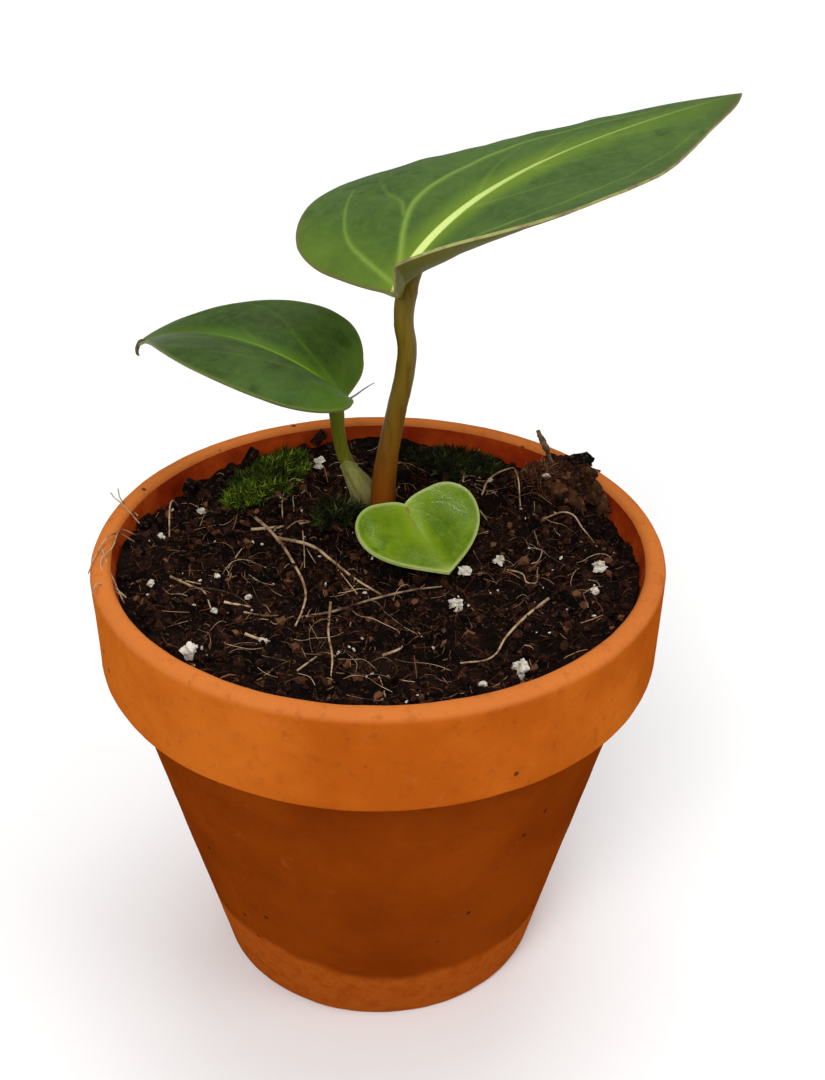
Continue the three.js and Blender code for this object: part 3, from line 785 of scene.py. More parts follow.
def make_blade(name, leaf, spokes, rings, veins, ridge, edge_wave):
    clear_selection()
    bpy.ops.mesh.primitive_grid_add(x_subdivisions=spokes, y_subdivisions=rings, size=1)
    blade = bpy.context.object
    count = len(blade.data.vertices)
    grid = np.zeros(count * 3)
    blade.data.vertices.foreach_get("co", grid)
    grid = grid.reshape(-1, 3)
    around = np.rint((grid[:, 0] + 0.5) * spokes).astype(int)
    outwards = grid[:, 1] + 0.5
    half = half_outline(leaf, spokes // 2 + 1)
    other = half * np.array((1, -leaf["right_share"]))
    near_tip = np.clip((half[:, 0] / leaf["length"] - 0.6) / 0.4, 0, 1)
    other[:, 1] -= leaf["tip_bulge"] * near_tip**2 * (1 - near_tip**12)
    loop = np.vstack([half[::-1], other[1:]])
    flat = loop[around] * outwards[:, None]
    along, across = flat[:, 0], flat[:, 1]
    to_edge = distance_to_line(flat, loop[::2])[0]
    share = np.clip(along / leaf["length"], 0, 1)
    vein = np.zeros(count)
    for line, strength, breadth in veins:
        gap, walked = distance_to_line(flat, smooth_line(line))
        thin = breadth * (1 - 0.55 * walked)
        vein = np.maximum(vein, strength * (1 - 0.6 * walked) * np.exp(-((gap / thin) ** 2)))
    points, up = bend_leaf(leaf, along, across + 1e-9)
    rib_width = 1.0 - 0.65 * share
    rib = np.exp(-((across / rib_width) ** 2)) * (1 - share) ** 0.4
    puckers = np.array([noise.noise(Vector((a * 0.16, c * 0.22, 3))) for a, c in flat])
    away = np.clip(np.abs(across) / leaf["half_width"], 0, 1)
    wave = np.array([noise.noise(Vector((a * 0.12, 7 * np.sign(c), 1))) for a, c in flat])
    wave = wave * away**2 * edge_wave
    lift = ridge * rib + 0.16 * vein + leaf["pucker"] * puckers * np.minimum(away * 3, 1) + wave
    fade = np.clip(to_edge / 2, 0.25, 1)
    points = points + up * (lift * fade)[:, None]
    points = points * MM + np.array(pot_axis)
    blade.data.vertices.foreach_set("co", points.ravel())
    keep_attribute(blade, "along", share)
    keep_attribute(blade, "across", across)
    keep_attribute(blade, "to_edge", to_edge)
    keep_attribute(blade, "vein", vein)
    blade.data.update()
    pick(blade)
    bpy.ops.object.mode_set(mode="EDIT")
    bpy.ops.mesh.select_all(action="SELECT")
    bpy.ops.mesh.remove_doubles(threshold=0.000001)
    bpy.ops.object.mode_set(mode="OBJECT")
    probe, probe_up = leaf_point(leaf, leaf["length"] * 0.3)
    probe = at(*probe)
    nearest = min(blade.data.polygons, key=lambda face: (face.center - probe).length)
    if nearest.normal.dot(probe_up) < 0:
        pick(blade)
        bpy.ops.object.mode_set(mode="EDIT")
        bpy.ops.mesh.select_all(action="SELECT")
        bpy.ops.mesh.flip_normals()
        bpy.ops.object.mode_set(mode="OBJECT")
    return blade


# %% [markdown]
# A real blade is about half a millimetre thick, so the sheet gets its thickness
# downwards with Solidify. Below the midrib it is thicker: a keel that stiffens the
# leaf and fades out towards the tip. The underside and the cut edge get materials of
# their own.

# %% Thicken a blade
def thicken(blade, leaf, thickness):
    tops = len(blade.data.vertices)
    for _ in range(3):
        blade.data.materials.append(None)
    apply_modifier(
        blade, "SOLIDIFY", thickness=thickness * MM, offset=-1,
        material_offset=1, material_offset_rim=2, use_even_offset=False,
    )
    count = len(blade.data.vertices)
    share = np.zeros(count, np.float32)
    across = np.zeros(count, np.float32)
    places = np.zeros(count * 3)
    normals = np.zeros(count * 3)
    blade.data.attributes["along"].data.foreach_get("value", share)
    blade.data.attributes["across"].data.foreach_get("value", across)
    blade.data.vertices.foreach_get("co", places)
    blade.data.vertices.foreach_get("normal", normals)
    keel = leaf["keel"] * (1 - share) * np.exp(-((across / (1.5 - 0.9 * share)) ** 2))
    keel[:tops] = 0
    places += normals * np.repeat(keel, 3) * MM
    blade.data.vertices.foreach_set("co", places)
    blade.data.update()
    smooth(blade, 55)
    return blade


# %% [markdown]
# ## The large velvet leaf
# The biggest leaf hangs to the right on the tallest stalk. Its midrib is a pale,
# raised cord. A few side veins leave the stalk end like the ribs of a fan and bow
# towards the tip. Each vein is a line on the flat leaf with a strength and a width.

# %% Large blade
LARGE_VEINS = [
    ([(0, 0), (3.7, 1.2), (8.6, 4.6), (12, 7.3), (15.1, 9), (20, 9.6), (28, 9),
      (38, 9.4), (50, 8), (66, 4)], 1.0, 0.6),
    ([(12, 7.3), (14.5, 10.4), (14.8, 14.4), (17, 19)], 0.5, 0.45),
    ([(0, 0), (1, 3.8), (2.7, 10.5), (3.7, 13.4), (5.5, 15.5), (9.3, 19.2), (14, 23)], 0.85, 0.5),
    ([(0, 0), (6, -6), (14, -12), (25, -17), (37.6, -18.9), (46, -17.6),
      (56, -13.4), (68, -7.4)], 0.6, 0.5),
    ([(0, 0), (1, -5), (2.5, -11), (6, -17), (13, -23)], 0.6, 0.45),
    ([(22, 0), (28, 3.4), (34, 6), (40, 8)], 0.3, 0.4),
    ([(36, 0), (44, 3), (51, 5.2)], 0.3, 0.4),
    ([(18, 0), (27, -5), (37, -9), (46, -11.5)], 0.3, 0.4),
    ([(34, 0), (45, -4.4), (57, -7.4)], 0.25, 0.4),
    ([(50, 0), (60, -2.6), (69, -4)], 0.2, 0.35),
]
large_blade = make_blade("large", LARGE, 360, 92, LARGE_VEINS, 0.32, 0.3)
thicken(large_blade, LARGE, 0.5)
print("large blade faces", len(large_blade.data.polygons))

# %% [markdown]
# Velvet leaves are covered in tiny domed cells that scatter light: a matt green with
# a soft sheen. The green is deepest between veins and yellower beside the midrib.
# The midrib is drawn from the across and along values, so it stays crisp.

# %% Leaf finish
def leaf_finish(name, tones, roughness, specular, rib_width, rib_reach, vein_show):
    finish = new_finish(name, roughness, specular)
    across = maths(finish, "ABSOLUTE", attribute(finish, "across"))
    along = attribute(finish, "along")
    mottle = spread(finish, cloud(finish, 95, 5, 0.6), 0.34, 0.68)
    fine = cloud(finish, 620, 4, 0.65)
    colour = mixed(finish, mottle, tones["deep"], tones["green"])
    colour = mixed(finish, spread(finish, fine, 0.35, 0.75, 0.0, 0.45), colour, tones["light"])
    blotch = spread(finish, cloud(finish, 210, 4, 0.5), 0.56, 0.66)
    blotch_area = spread(finish, cloud(finish, 40, 2), 0.47, 0.6, 0.0, 0.75)
    blotch = maths(finish, "MULTIPLY", blotch, blotch_area)
    colour = mixed(finish, blotch, colour, tones["blotch"])
    glow = spread(finish, across, 0.4, tones["glow_width"], 0.75, 0.0)
    glow = maths(finish, "MULTIPLY", glow, spread(finish, along, 0.25, 0.9, 1.0, 0.35))
    colour = mixed(finish, glow, colour, tones["glow"])
    near_stalk = spread(finish, along, 0.0, 0.13, tones["stalk_glow"], 0.0)
    colour = mixed(finish, near_stalk, colour, tones["glow"])
    toward_tip = spread(finish, along, 0.82, 1.0, 0.0, 0.55)
    colour = mixed(finish, toward_tip, colour, tones["tip"])
    veins = maths(finish, "MULTIPLY", attribute(finish, "vein"), vein_show)
    colour = mixed(finish, veins, colour, tones["vein"])
    half = spread(finish, along, 0.0, rib_reach, rib_width, 0.12)
    edge = maths(finish, "SUBTRACT", across, half)
    rib = spread(finish, edge, -0.18, 0.22, 1.0, 0.0)
    rib = maths(finish, "MULTIPLY", rib, spread(finish, along, 0.55, 1.0, tones["rib_show"], 0.12))
    rib_tone = mixed(finish, spread(finish, along, 0.05, 0.6), tones["rib"], tones["rib_far"])
    colour = mixed(finish, rib, colour, rib_tone)
    margin = spread(finish, attribute(finish, "to_edge"), 0.15, 0.75, 0.7, 0.0)
    colour = mixed(finish, margin, colour, tones["margin"])
    spots = spread(finish, cells(finish, 105), 0.035, 0.055, 1.0, 0.0)
    spots = maths(finish, "MULTIPLY", spots, spread(finish, cloud(finish, 70, 1), 0.55, 0.6))
    colour = mixed(finish, spots, colour, paint(38, 42, 18))
    feed(finish, "Base Color", colour)
    relief = maths(finish, "ADD", fine, cloud(finish, 2600, 2, 0.5))
    bumps(finish, relief, tones["relief"])
    return finish


LARGE_TONES = {
    "deep": paint(56, 80, 32), "green": paint(70, 95, 38), "light": paint(84, 108, 50),
    "blotch": paint(46, 70, 34), "glow": paint(106, 132, 34), "stalk_glow": 0.35,
    "tip": paint(64, 72, 40), "vein": paint(134, 160, 66), "rib": paint(204, 222, 132),
    "rib_far": paint(146, 170, 88), "rib_show": 1.0, "margin": paint(104, 88, 58),
    "relief": 0.00010, "glow_width": 5.0,
}
velvet = leaf_finish("velvet_upper", LARGE_TONES, 0.78, 0.12, 0.85, 0.62, 0.7)
velvet_shader = velvet.node_tree.nodes["Principled BSDF"]
velvet_shader.inputs["Sheen Weight"].default_value = 0.05
velvet_shader.inputs["Sheen Roughness"].default_value = 0.45
velvet_shader.inputs["Sheen Tint"].default_value = paint(190, 215, 160)


# %% [markdown]
# The underside of a leaf is paler and smoother than the top, with the veins standing
# out, and the thin edge is a brownish line. One small recipe makes both for each leaf.

# %% Underside and edge
def underside_finish(name, green, rib_colour, edge_green):
    finish = new_finish(name, 0.6, 0.06)
    mottle = spread(finish, cloud(finish, 120, 5, 0.6), 0.3, 0.7)
    colour = mixed(finish, mottle, green, edge_green)
    across = maths(finish, "ABSOLUTE", attribute(finish, "across"))
    rib = spread(finish, across, 0.8, 2.4, 0.9, 0.0)
    colour = mixed(finish, rib, colour, rib_colour)
    colour = mixed(finish, attribute(finish, "vein"), colour, rib_colour)
    feed(finish, "Base Color", colour)
    bumps(finish, cloud(finish, 1400, 4), 0.00008)
    return finish


def edge_finish(name, first, second):
    return two_toned(
        name, (0.6, 0.25), (260, 4), (0.35, 0.65), first, second, (1500, 3), 0.00005
    )


large_under = underside_finish(
    "velvet_under", paint(104, 96, 26), paint(112, 100, 20), paint(88, 90, 30)
)
large_edge = edge_finish("velvet_edge", paint(116, 98, 66), paint(146, 150, 84))
large_finishes = [velvet, large_under, large_edge]
settle(large_blade, "large_blade", large_finishes, "velvet_leaf", "large_leaf_blade")

# %% [markdown]
# ## The middle leaf
# The second leaf points left and away. It is older, darker and a little shiny, and
# its tip has dried into a small brown hook.

# %% Middle blade
MIDDLE_VEINS = [
    ([(0, 0), (5.9, -3.3), (12.2, -5.6), (15.3, -8.2), (22, -11), (31, -11), (40, -7)], 0.7, 0.55),
    ([(0, 0), (6, 4.6), (13, 8.6), (22, 10.8), (32, 9.2), (42, 5)], 0.35, 0.55),
    ([(0, 0), (1, -4), (3, -8), (8, -13)], 0.45, 0.45),
    ([(0, 0), (1, 4), (3, 8), (8, 12)], 0.35, 0.45),
    ([(16, 0), (24, -3.6), (32, -5.4)], 0.25, 0.4),
    ([(16, 0), (24, 3.4), (32, 5)], 0.2, 0.4),
]
middle_blade = make_blade("middle", MIDDLE, 280, 72, MIDDLE_VEINS, 0.2, 0.5)
thicken(middle_blade, MIDDLE, 0.5)
MIDDLE_TONES = {
    "deep": paint(42, 62, 16), "green": paint(57, 80, 24), "light": paint(72, 98, 36),
    "blotch": paint(34, 52, 12), "glow": paint(76, 106, 16), "stalk_glow": 0.6,
    "tip": paint(86, 106, 30), "vein": paint(84, 118, 20), "rib": paint(112, 142, 26),
    "rib_far": paint(84, 112, 40), "rib_show": 0.75, "margin": paint(90, 100, 40),
    "relief": 0.00007, "glow_width": 3.6,
}
satin = leaf_finish("satin_upper", MIDDLE_TONES, 0.5, 0.1, 0.5, 0.8, 0.5)
middle_under = underside_finish(
    "satin_under", paint(74, 92, 22), paint(96, 108, 26), paint(64, 80, 20)
)
middle_edge = edge_finish("satin_edge", paint(108, 116, 58), paint(92, 96, 48))
middle_finishes = [satin, middle_under, middle_edge]
settle(middle_blade, "middle_blade", middle_finishes, "satin_leaf", "middle_leaf_blade")

# %% [markdown]
# ## The small young leaf
# The newest leaf is a plump yellow-green heart low over the peat. Young leaves are
# still soft and glossy, so this one has the lowest roughness and the palest edge.

# %% Small blade
SMALL_VEINS = [
    ([(0, 0), (3, 3), (6.5, 5.2), (11, 5), (14, 3)], 0.5, 0.4),
    ([(0, 0), (3, -3), (6.5, -5.2), (11, -5), (14, -3)], 0.5, 0.4),
    ([(0, 0), (0.6, 3), (2, 6.5), (5, 9)], 0.4, 0.4),
    ([(0, 0), (0.6, -3), (2, -6.5), (5, -9)], 0.4, 0.4),
]
small_blade = make_blade("small", SMALL, 200, 44, SMALL_VEINS, -0.16, 0.3)
thicken(small_blade, SMALL, 0.5)
SMALL_TONES = {
    "deep": paint(76, 106, 8), "green": paint(104, 132, 14), "light": paint(124, 148, 26),
    "blotch": paint(70, 98, 8), "glow": paint(126, 152, 26), "stalk_glow": 0.3,
    "tip": paint(176, 186, 74), "vein": paint(122, 148, 30), "rib": paint(128, 154, 36),
    "rib_far": paint(124, 150, 32), "rib_show": 0.15, "margin": paint(168, 182, 104),
    "relief": 0.00009, "glow_width": 3.0,
}
young = leaf_finish("young_upper", SMALL_TONES, 0.2, 0.5, 0.3, 0.8, 0.2)
small_under = underside_finish(
    "young_under", paint(128, 152, 60), paint(150, 170, 80), paint(116, 140, 52)
)
small_edge = edge_finish("young_edge", paint(186, 196, 128), paint(158, 172, 90))
small_finishes = [young, small_under, small_edge]
settle(small_blade, "small_blade", small_finishes, "young_leaf", "small_leaf_blade")


# %% [markdown]
# ## Stalks
# Each leaf stands on a round stalk that thickens to a foot in the soil and swells
# again where it turns into the midrib. A Bezier curve with a radius at each point
# makes such a tube, and it is then turned into a mesh.

# %% Tube helper
def make_tubes(name, lines, sides=3, steps=6):
    clear_selection()
    bpy.ops.curve.primitive_bezier_curve_add(location=(0, 0, 0))
    piece = bpy.context.object
    curve = piece.data
    curve.splines.clear()
    curve.dimensions = "3D"
    curve.bevel_depth = MM
    curve.bevel_resolution = sides
    curve.resolution_u = steps
    curve.use_fill_caps = True
    for line in lines:
        spline = curve.splines.new("BEZIER")
        spline.bezier_points.add(len(line) - 1)
        for knot, (x, y, z, radius) in zip(spline.bezier_points, line):
            knot.co = at(x, y, z)
            knot.radius = radius
            knot.handle_left_type = "AUTO"
            knot.handle_right_type = "AUTO"
    pick(piece)
    bpy.ops.object.convert(target="MESH")
    piece = bpy.context.object
    set_in_place(piece)
    tidy_mesh(piece, 0.0000005)
    smooth(piece, 60)
    return piece


def stalk_line(waypoints, radii, leaf, under):
    line = []
    for (x, y, height), radius in zip(waypoints, radii):
        line.append((x, y, SOIL_LEVEL + height, radius))
    for along, radius, below in under:
        point, up = leaf_point(leaf, along)
        point = point - up * below
        line.append((point.x, point.y, point.z, radius))
    return line


LARGE_WAY = [
    (0.2, 16.7, -5), (0.4, 16.7, 0), (0.7, 16.7, 7.6), (1.8, 16.7, 15.8), (2.9, 16.7, 21.8),
    (4.4, 16.7, 29.7), (4.7, 16.7, 34), (4.1, 16.7, 39),
]
LARGE_RADII = [2.5, 2.45, 2.2, 1.9, 1.8, 1.75, 1.7, 1.75]
LARGE_UNDER = [(0.5, 1.9, 1.9), (3, 1.45, 1.5), (7, 1.0, 1.05), (14, 0.7, 0.7), (24, 0.45, 0.45)]
large_stalk = make_tubes("large", [stalk_line(LARGE_WAY, LARGE_RADII, LARGE, LARGE_UNDER)], 8, 10)
roughen(large_stalk, 2.2, 0.12, "stalk_skin")
print("large stalk size in mm", [round(side / MM, 1) for side in large_stalk.dimensions])


# %% [markdown]
# The stalks change colour as they rise: red-brown near the soil, olive higher up and
# yellow-green at the leaf. Fine streaks run along them, so the noise is squeezed in
# height and stretched across.

# %% Stalk finishes
def stalk_finish(name, stops, roughness):
    finish = new_finish(name, roughness, 0.18)
    height = spread(finish, height_on(finish), stops[0][0] * MM, stops[-1][0] * MM)
    ramp = add_node(finish, "ShaderNodeValToRGB", {}, {"Fac": height})
    low, high = stops[0][0], stops[-1][0]
    elements = ramp.color_ramp.elements
    for index, (level, colour) in enumerate(stops):
        position = (level - low) / (high - low)
        element = elements[index] if index < 2 else elements.new(position)
        element.position = position
        element.color = colour
    streaks = cloud(finish, 1.0, 4, 0.6, stretched(finish, (900, 900, 110)))
    streak_share = spread(finish, streaks, 0.42, 0.72, 0.0, 0.5)
    darker = mixed(finish, streak_share, ramp.outputs["Color"], paint(66, 44, 12))
    feed(finish, "Base Color", darker)
    bumps(finish, streaks, 0.0001)
    return finish


BRONZE_STOPS = [
    (78, paint(122, 58, 4)), (92, paint(114, 74, 8)), (108, paint(104, 82, 8)),
    (126, paint(104, 86, 10)),
]
bronze = stalk_finish("bronze_stalk_skin", BRONZE_STOPS, 0.45)
settle(large_stalk, "large_stalk", [bronze], "bronze_stalk", "large_leaf_stalk")

MIDDLE_WAY = [
    (-2.4, 21.6, -5), (-2.9, 21, 0), (-3.8, 19.8, 4.1), (-5.8, 18.4, 9.5),
    (-6.9, 17.6, 13), (-7.6, 16.7, 18.2),
]
MIDDLE_RADII = [1.8, 1.75, 1.55, 1.35, 1.25, 1.25]
MIDDLE_UNDER = [(0.4, 1.5, 1.6), (3, 1.1, 1.2), (8, 0.8, 0.9), (16, 0.5, 0.6)]
middle_stalk = make_tubes("middle", [stalk_line(MIDDLE_WAY, MIDDLE_RADII, MIDDLE, MIDDLE_UNDER)], 8, 10)
roughen(middle_stalk, 2.2, 0.1, "middle_skin")
GREEN_STOPS = [(79, paint(136, 122, 58)), (88, paint(106, 106, 26)), (104, paint(98, 104, 22))]
green_stem = stalk_finish("green_stalk_skin", GREEN_STOPS, 0.42)
settle(middle_stalk, "middle_stalk", [green_stem], "green_stalk", "middle_leaf_stalk")

SMALL_WAY = [(2.1, 13.6, -5), (2.4, 13.2, -1), (3.4, 12.4, 2.6)]
SMALL_UNDER = [(0.3, 0.85, 0.9), (2, 0.6, 0.75), (5, 0.4, 0.55)]
small_stalk = make_tubes("small", [stalk_line(SMALL_WAY, [1.0, 0.95, 0.85], SMALL, SMALL_UNDER)], 6, 8)
roughen(small_stalk, 1.6, 0.06, "small_skin")
settle(small_stalk, "small_stalk", [green_stem], "green_stalk", "small_leaf_stalk")

# %% [markdown]
# ## The papery sheath
# Each new stalk first pushes out of a thin bud sheath. It dries to pale paper and
# stays wrapped round the foot of the middle stalk, standing off it on one side. A
# grid is rolled part of the way round the stalk and bulged, then given a thickness.

# %% Sheath
SHEATH_HEIGHT = 11
SHEATH_WRAP = (-150, 20)


def middle_axis(height):
    heights = [point[2] for point in MIDDLE_WAY]
    x = np.interp(height, heights, [point[0] for point in MIDDLE_WAY])
    y = np.interp(height, heights, [point[1] for point in MIDDLE_WAY])
    return float(x), float(y), float(np.interp(height, heights, MIDDLE_RADII))


clear_selection()
bpy.ops.mesh.primitive_grid_add(x_subdivisions=28, y_subdivisions=26, size=1)
sheath = bpy.context.object
for vertex in sheath.data.vertices:
    turn_share = vertex.co.x + 0.5
    rise_share = vertex.co.y + 0.5
    angle = math.radians(SHEATH_WRAP[0] + (SHEATH_WRAP[1] - SHEATH_WRAP[0]) * turn_share)
    top = SHEATH_HEIGHT * (1 - 0.22 * abs(2 * turn_share - 0.9) ** 2)
    height = 0.6 + top * rise_share
    x, y, radius = middle_axis(height)
    bulge = 0.95 * math.sin(math.pi * min(rise_share * 1.15, 1)) ** 0.8
    lean_out = max(0, math.cos(angle - math.radians(-25)))
    fold = 0.12 * math.sin(9 * angle + 0.4 * height)
    reach = radius + 0.3 + bulge * (0.35 + 0.9 * lean_out) + fold
    vertex.co = at(x + reach * math.cos(angle), y + reach * math.sin(angle), SOIL_LEVEL + height)
apply_modifier(sheath, "SOLIDIFY", thickness=0.28 * MM, offset=0, use_even_offset=False)
tidy_mesh(sheath)
smooth(sheath, 50)
paper = new_finish("papery_sheath_skin", 0.55, 0.2)
paper_lines = cloud(paper, 1.0, 4, 0.6, stretched(paper, (1500, 1500, 160)))
paper_share = spread(paper, paper_lines, 0.35, 0.7)
paper_tone = mixed(paper, paper_share, paint(134, 134, 72), paint(112, 108, 52))
paper_low = spread(paper, height_on(paper), 0.0815, 0.0900)
feed(paper, "Base Color", mixed(paper, paper_low, paint(154, 146, 88), paper_tone))
bumps(paper, paper_lines, 0.0001)
settle(sheath, "bud_sheath", [paper], "papery_sheath", "middle_leaf_sheath")

# %% [markdown]
# ## The dried tip of the middle leaf
# The drip tip has shrivelled to a brown hook a few millimetres long. It is a thin
# tapering tube that leaves the blade along the midrib and curls down and back.

# %% Hooked tip
tip = leaf_point(MIDDLE, MIDDLE["length"] - 0.9)[0]
tip_end = leaf_point(MIDDLE, MIDDLE["length"])[0]
tip_way = (tip_end - tip).normalized()
hook = []
HOOK = [
    (-2.6, 0.0, 0.34), (-1.0, 0.1, 0.52), (0.2, -0.35, 0.42), (0.8, -1.2, 0.34),
    (0.6, -2.0, 0.26), (0.1, -2.4, 0.14),
]
for forward, upward, radius in HOOK:
    point = tip + tip_way * forward + Vector((0, 0, 1)) * upward
    hook.append((*point, radius))
dried_tip = make_tubes("tip", [hook], 3, 8)
roughen(dried_tip, 0.8, 0.12, "shrivelled")
brown = two_toned(
    "dried_leaf", (0.7, 0.15), (900, 4, 0.6), (0.35, 0.7),
    paint(60, 54, 24), paint(104, 92, 48), None, 0.0001,
)
settle(dried_tip, "dried_leaf_tip", [brown], "satin_leaf")


# %% [markdown]
# ## Ground under small things
# Crumbs, moss and roots must lie on the real surface of the bed. A search tree over
# the bed's mesh gives the height under any place, and another over the small leaf
# keeps the crumbs from poking through it.

# %% Find the ground
view_layer = bpy.context.view_layer
view_layer.update()
graph = bpy.context.evaluated_depsgraph_get()
bed_tree = BVHTree.FromObject(bed, graph)
leaf_tree = BVHTree.FromObject(small_blade, graph)


def ground(x, y):
    hit = bed_tree.ray_cast(at(x, y, 120), Vector((0, 0, -1)))[0]
    if hit is None:
        return SOIL_LEVEL
    return hit.z / MM


def is_clear(x, y, z, room):
    near = leaf_tree.find_nearest(at(x, y, z))
    return near[3] / MM > room


print("ground in the middle", round(ground(0, 0), 2), "near the wall", round(ground(44, 0), 2))


# %% [markdown]
# ## Scattering one shape many times
# A few small shapes are modelled once each, with few faces. Every copy is turned,
# sized and placed, and the copies of one kind are kept in one mesh. A value for each
# copy, its tone, lets the finish vary from crumb to crumb.

# %% Scatter helper
def take_shape(piece):
    points = np.array([vertex.co[:] for vertex in piece.data.vertices])
    faces = [list(face.vertices) for face in piece.data.polygons]
    mesh = piece.data
    bpy.data.objects.remove(piece)
    bpy.data.meshes.remove(mesh)
    return points, faces


def scatter(name, shapes, copies):
    points, faces, tones = [], [], []
    count = 0
    for kind, spot, sizes, rotation, tone in copies:
        shape_points, shape_faces = shapes[kind % len(shapes)]
        turned = (shape_points * np.array(sizes)) @ np.array(rotation.to_matrix()).T
        points.append(turned * MM + np.array(at(*spot)))
        faces += [[corner + count for corner in face] for face in shape_faces]
        tones += [tone] * len(shape_points)
        count += len(shape_points)
    mesh = bpy.data.meshes.new(name)
    mesh.from_pydata(np.vstack(points).tolist(), [], faces)
    piece = bpy.data.objects.new(name, mesh)
    bpy.context.scene.collection.objects.link(piece)
    keep_attribute(piece, "tone", tones)
    return piece


dice = random.Random(7)


def any_turn(dice):
    axis = Vector((dice.uniform(-1, 1), dice.uniform(-1, 1), dice.uniform(-1, 1)))
    return Quaternion(axis + Vector((0.01, 0, 0)), dice.uniform(0, 6.28))


def drop(copies, kinds, spot, sizes, tones=None):
    kind = dice.randrange(kinds)
    rotation = any_turn(dice)
    tone = dice.uniform(*tones) if tones else 0.5
    copies.append((kind, spot, sizes, rotation, tone))


def lump_shape(divisions, roughness, seed):
    clear_selection()
    bpy.ops.mesh.primitive_ico_sphere_add(subdivisions=divisions, radius=0.5)
    piece = bpy.context.object
    for vertex in piece.data.vertices:
        push = noise.noise(vertex.co * 2.6 + Vector((seed, 0, 0)))
        push += 0.5 * noise.noise(vertex.co * 6 + Vector((0, seed, 0)))
        vertex.co *= 1 + roughness * push
    return take_shape(piece)


crumb_shapes = [lump_shape(1, 0.9, seed) for seed in range(6)]
print("faces of one crumb", len(crumb_shapes[0][1]))

# %% [markdown]
# A peat fibre is a short bent splinter: a three-sided cylinder, cut twice across by
# bisecting it, thinned at the ends and bowed.

# %% Fibre shapes
def fibre_shape(bow, twist):
    clear_selection()
    bpy.ops.mesh.primitive_cylinder_add(vertices=3, radius=0.5, depth=1)
    piece = bpy.context.object
    bpy.ops.object.mode_set(mode="EDIT")
    for level in (-0.2, 0.2):
        bpy.ops.mesh.select_all(action="SELECT")
        bpy.ops.mesh.bisect(plane_co=(0, 0, level), plane_no=(0, 0, 1))
    bpy.ops.object.mode_set(mode="OBJECT")
    for vertex in piece.data.vertices:
        away = abs(vertex.co.z) * 2
        vertex.co.x = vertex.co.x * (1 - 0.55 * away)
        vertex.co.y = vertex.co.y * (1 - 0.55 * away)
        vertex.co.x += bow * (1 - away * away)
        vertex.co.y += twist * vertex.co.z
    return take_shape(piece)


FIBRE_BENDS = [(1.2, 0.8), (-2.2, 0), (3.2, -1.5), (0.4, 2)]
fibre_shapes = [fibre_shape(bow, twist) for bow, twist in FIBRE_BENDS]
print("faces of one fibre", len(fibre_shapes[0][1]))

# %% [markdown]
# ## Crumbs of peat
# The surface of the bed is loose: crumbs up to two millimetres, thinner in the
# middle where watering has washed it and thicker at the back right, where a clump
# leans on the lip. A seeded dice makes every run the same.

# %% Crumbs
CRUMB_COUNT = 4200
CLUMP_CRUMBS = 900
CLUMP_EDGE = 47.6
LIP_TOP = 84.5


def bed_spot(limit=0.985):
    share = math.sqrt(dice.random()) * limit
    return place(dice.uniform(0, 360), share)


crumbs = []
while len(crumbs) < CRUMB_COUNT:
    x, y = bed_spot()
    size = 0.5 + 1.7 * dice.random() ** 3
    z = ground(x, y) + size * 0.12
    if not is_clear(x, y, z, size * 0.7 + 0.2):
        continue
    sizes = (size, size * dice.uniform(0.6, 1), size * dice.uniform(0.5, 0.9))
    drop(crumbs, 6, (x, y, z), sizes, (0, 1))
clump_x, clump_y = place(40, 0.93)
for _ in range(CLUMP_CRUMBS):
    reach = dice.random() ** 0.6
    angle = dice.uniform(0, 6.28)
    x = clump_x + 2 + 6.5 * reach * math.cos(angle)
    y = clump_y - 1 + 6 * reach * math.sin(angle)
    away = math.hypot(x, y)
    if away > CLUMP_EDGE:
        x *= CLUMP_EDGE / away
        y *= CLUMP_EDGE / away
    z = 81.6 + 3.8 * (1 - reach**1.6) * dice.uniform(0.5, 1)
    if away > 45:
        z = max(z, LIP_TOP)
    size = 0.5 + 1.5 * dice.random() ** 2
    sizes = (size, size * dice.uniform(0.6, 1), size * dice.uniform(0.6, 1))
    drop(crumbs, 6, (x, y, z), sizes, (0.3, 1))
crumb_piece = scatter("peat_crumbs", crumb_shapes, crumbs)
smooth(crumb_piece, 35)
print("crumbs", len(crumbs))


# %% [markdown]
# One recipe colours crumbs and fibres: two tones chosen by the copy's own value.

# %% Crumb finish
def toned_finish(name, dark, light, highlight, roughness=0.9):
    finish = new_finish(name, roughness, 0.06)
    tone = attribute(finish, "tone")
    colour = mixed(finish, spread(finish, tone, 0.1, 0.8), dark, light)
    colour = mixed(finish, spread(finish, tone, 0.9, 1.0, 0.0, 0.8), colour, highlight)
    grain = cloud(finish, 1300, 4, 0.65)
    colour = mixed(finish, spread(finish, grain, 0.5, 0.75, 0.0, 0.45), colour, highlight)
    feed(finish, "Base Color", colour)
    bumps(finish, grain, 0.0003)
    return finish


crumb_finish = toned_finish("peat_crumb", paint(6, 3, 3), paint(42, 22, 14), paint(118, 78, 52))
settle(crumb_piece, "peat_crumbs", [crumb_finish], "peat")

# %% [markdown]
# ## Lumps of the clump
# At the back right a few bigger lumps of old root ball stick together and rest on
# the lip, with one dark square chip of bark on top. The noise that shakes the chip's
# corners has a fixed seed, so the chip comes out the same each time.

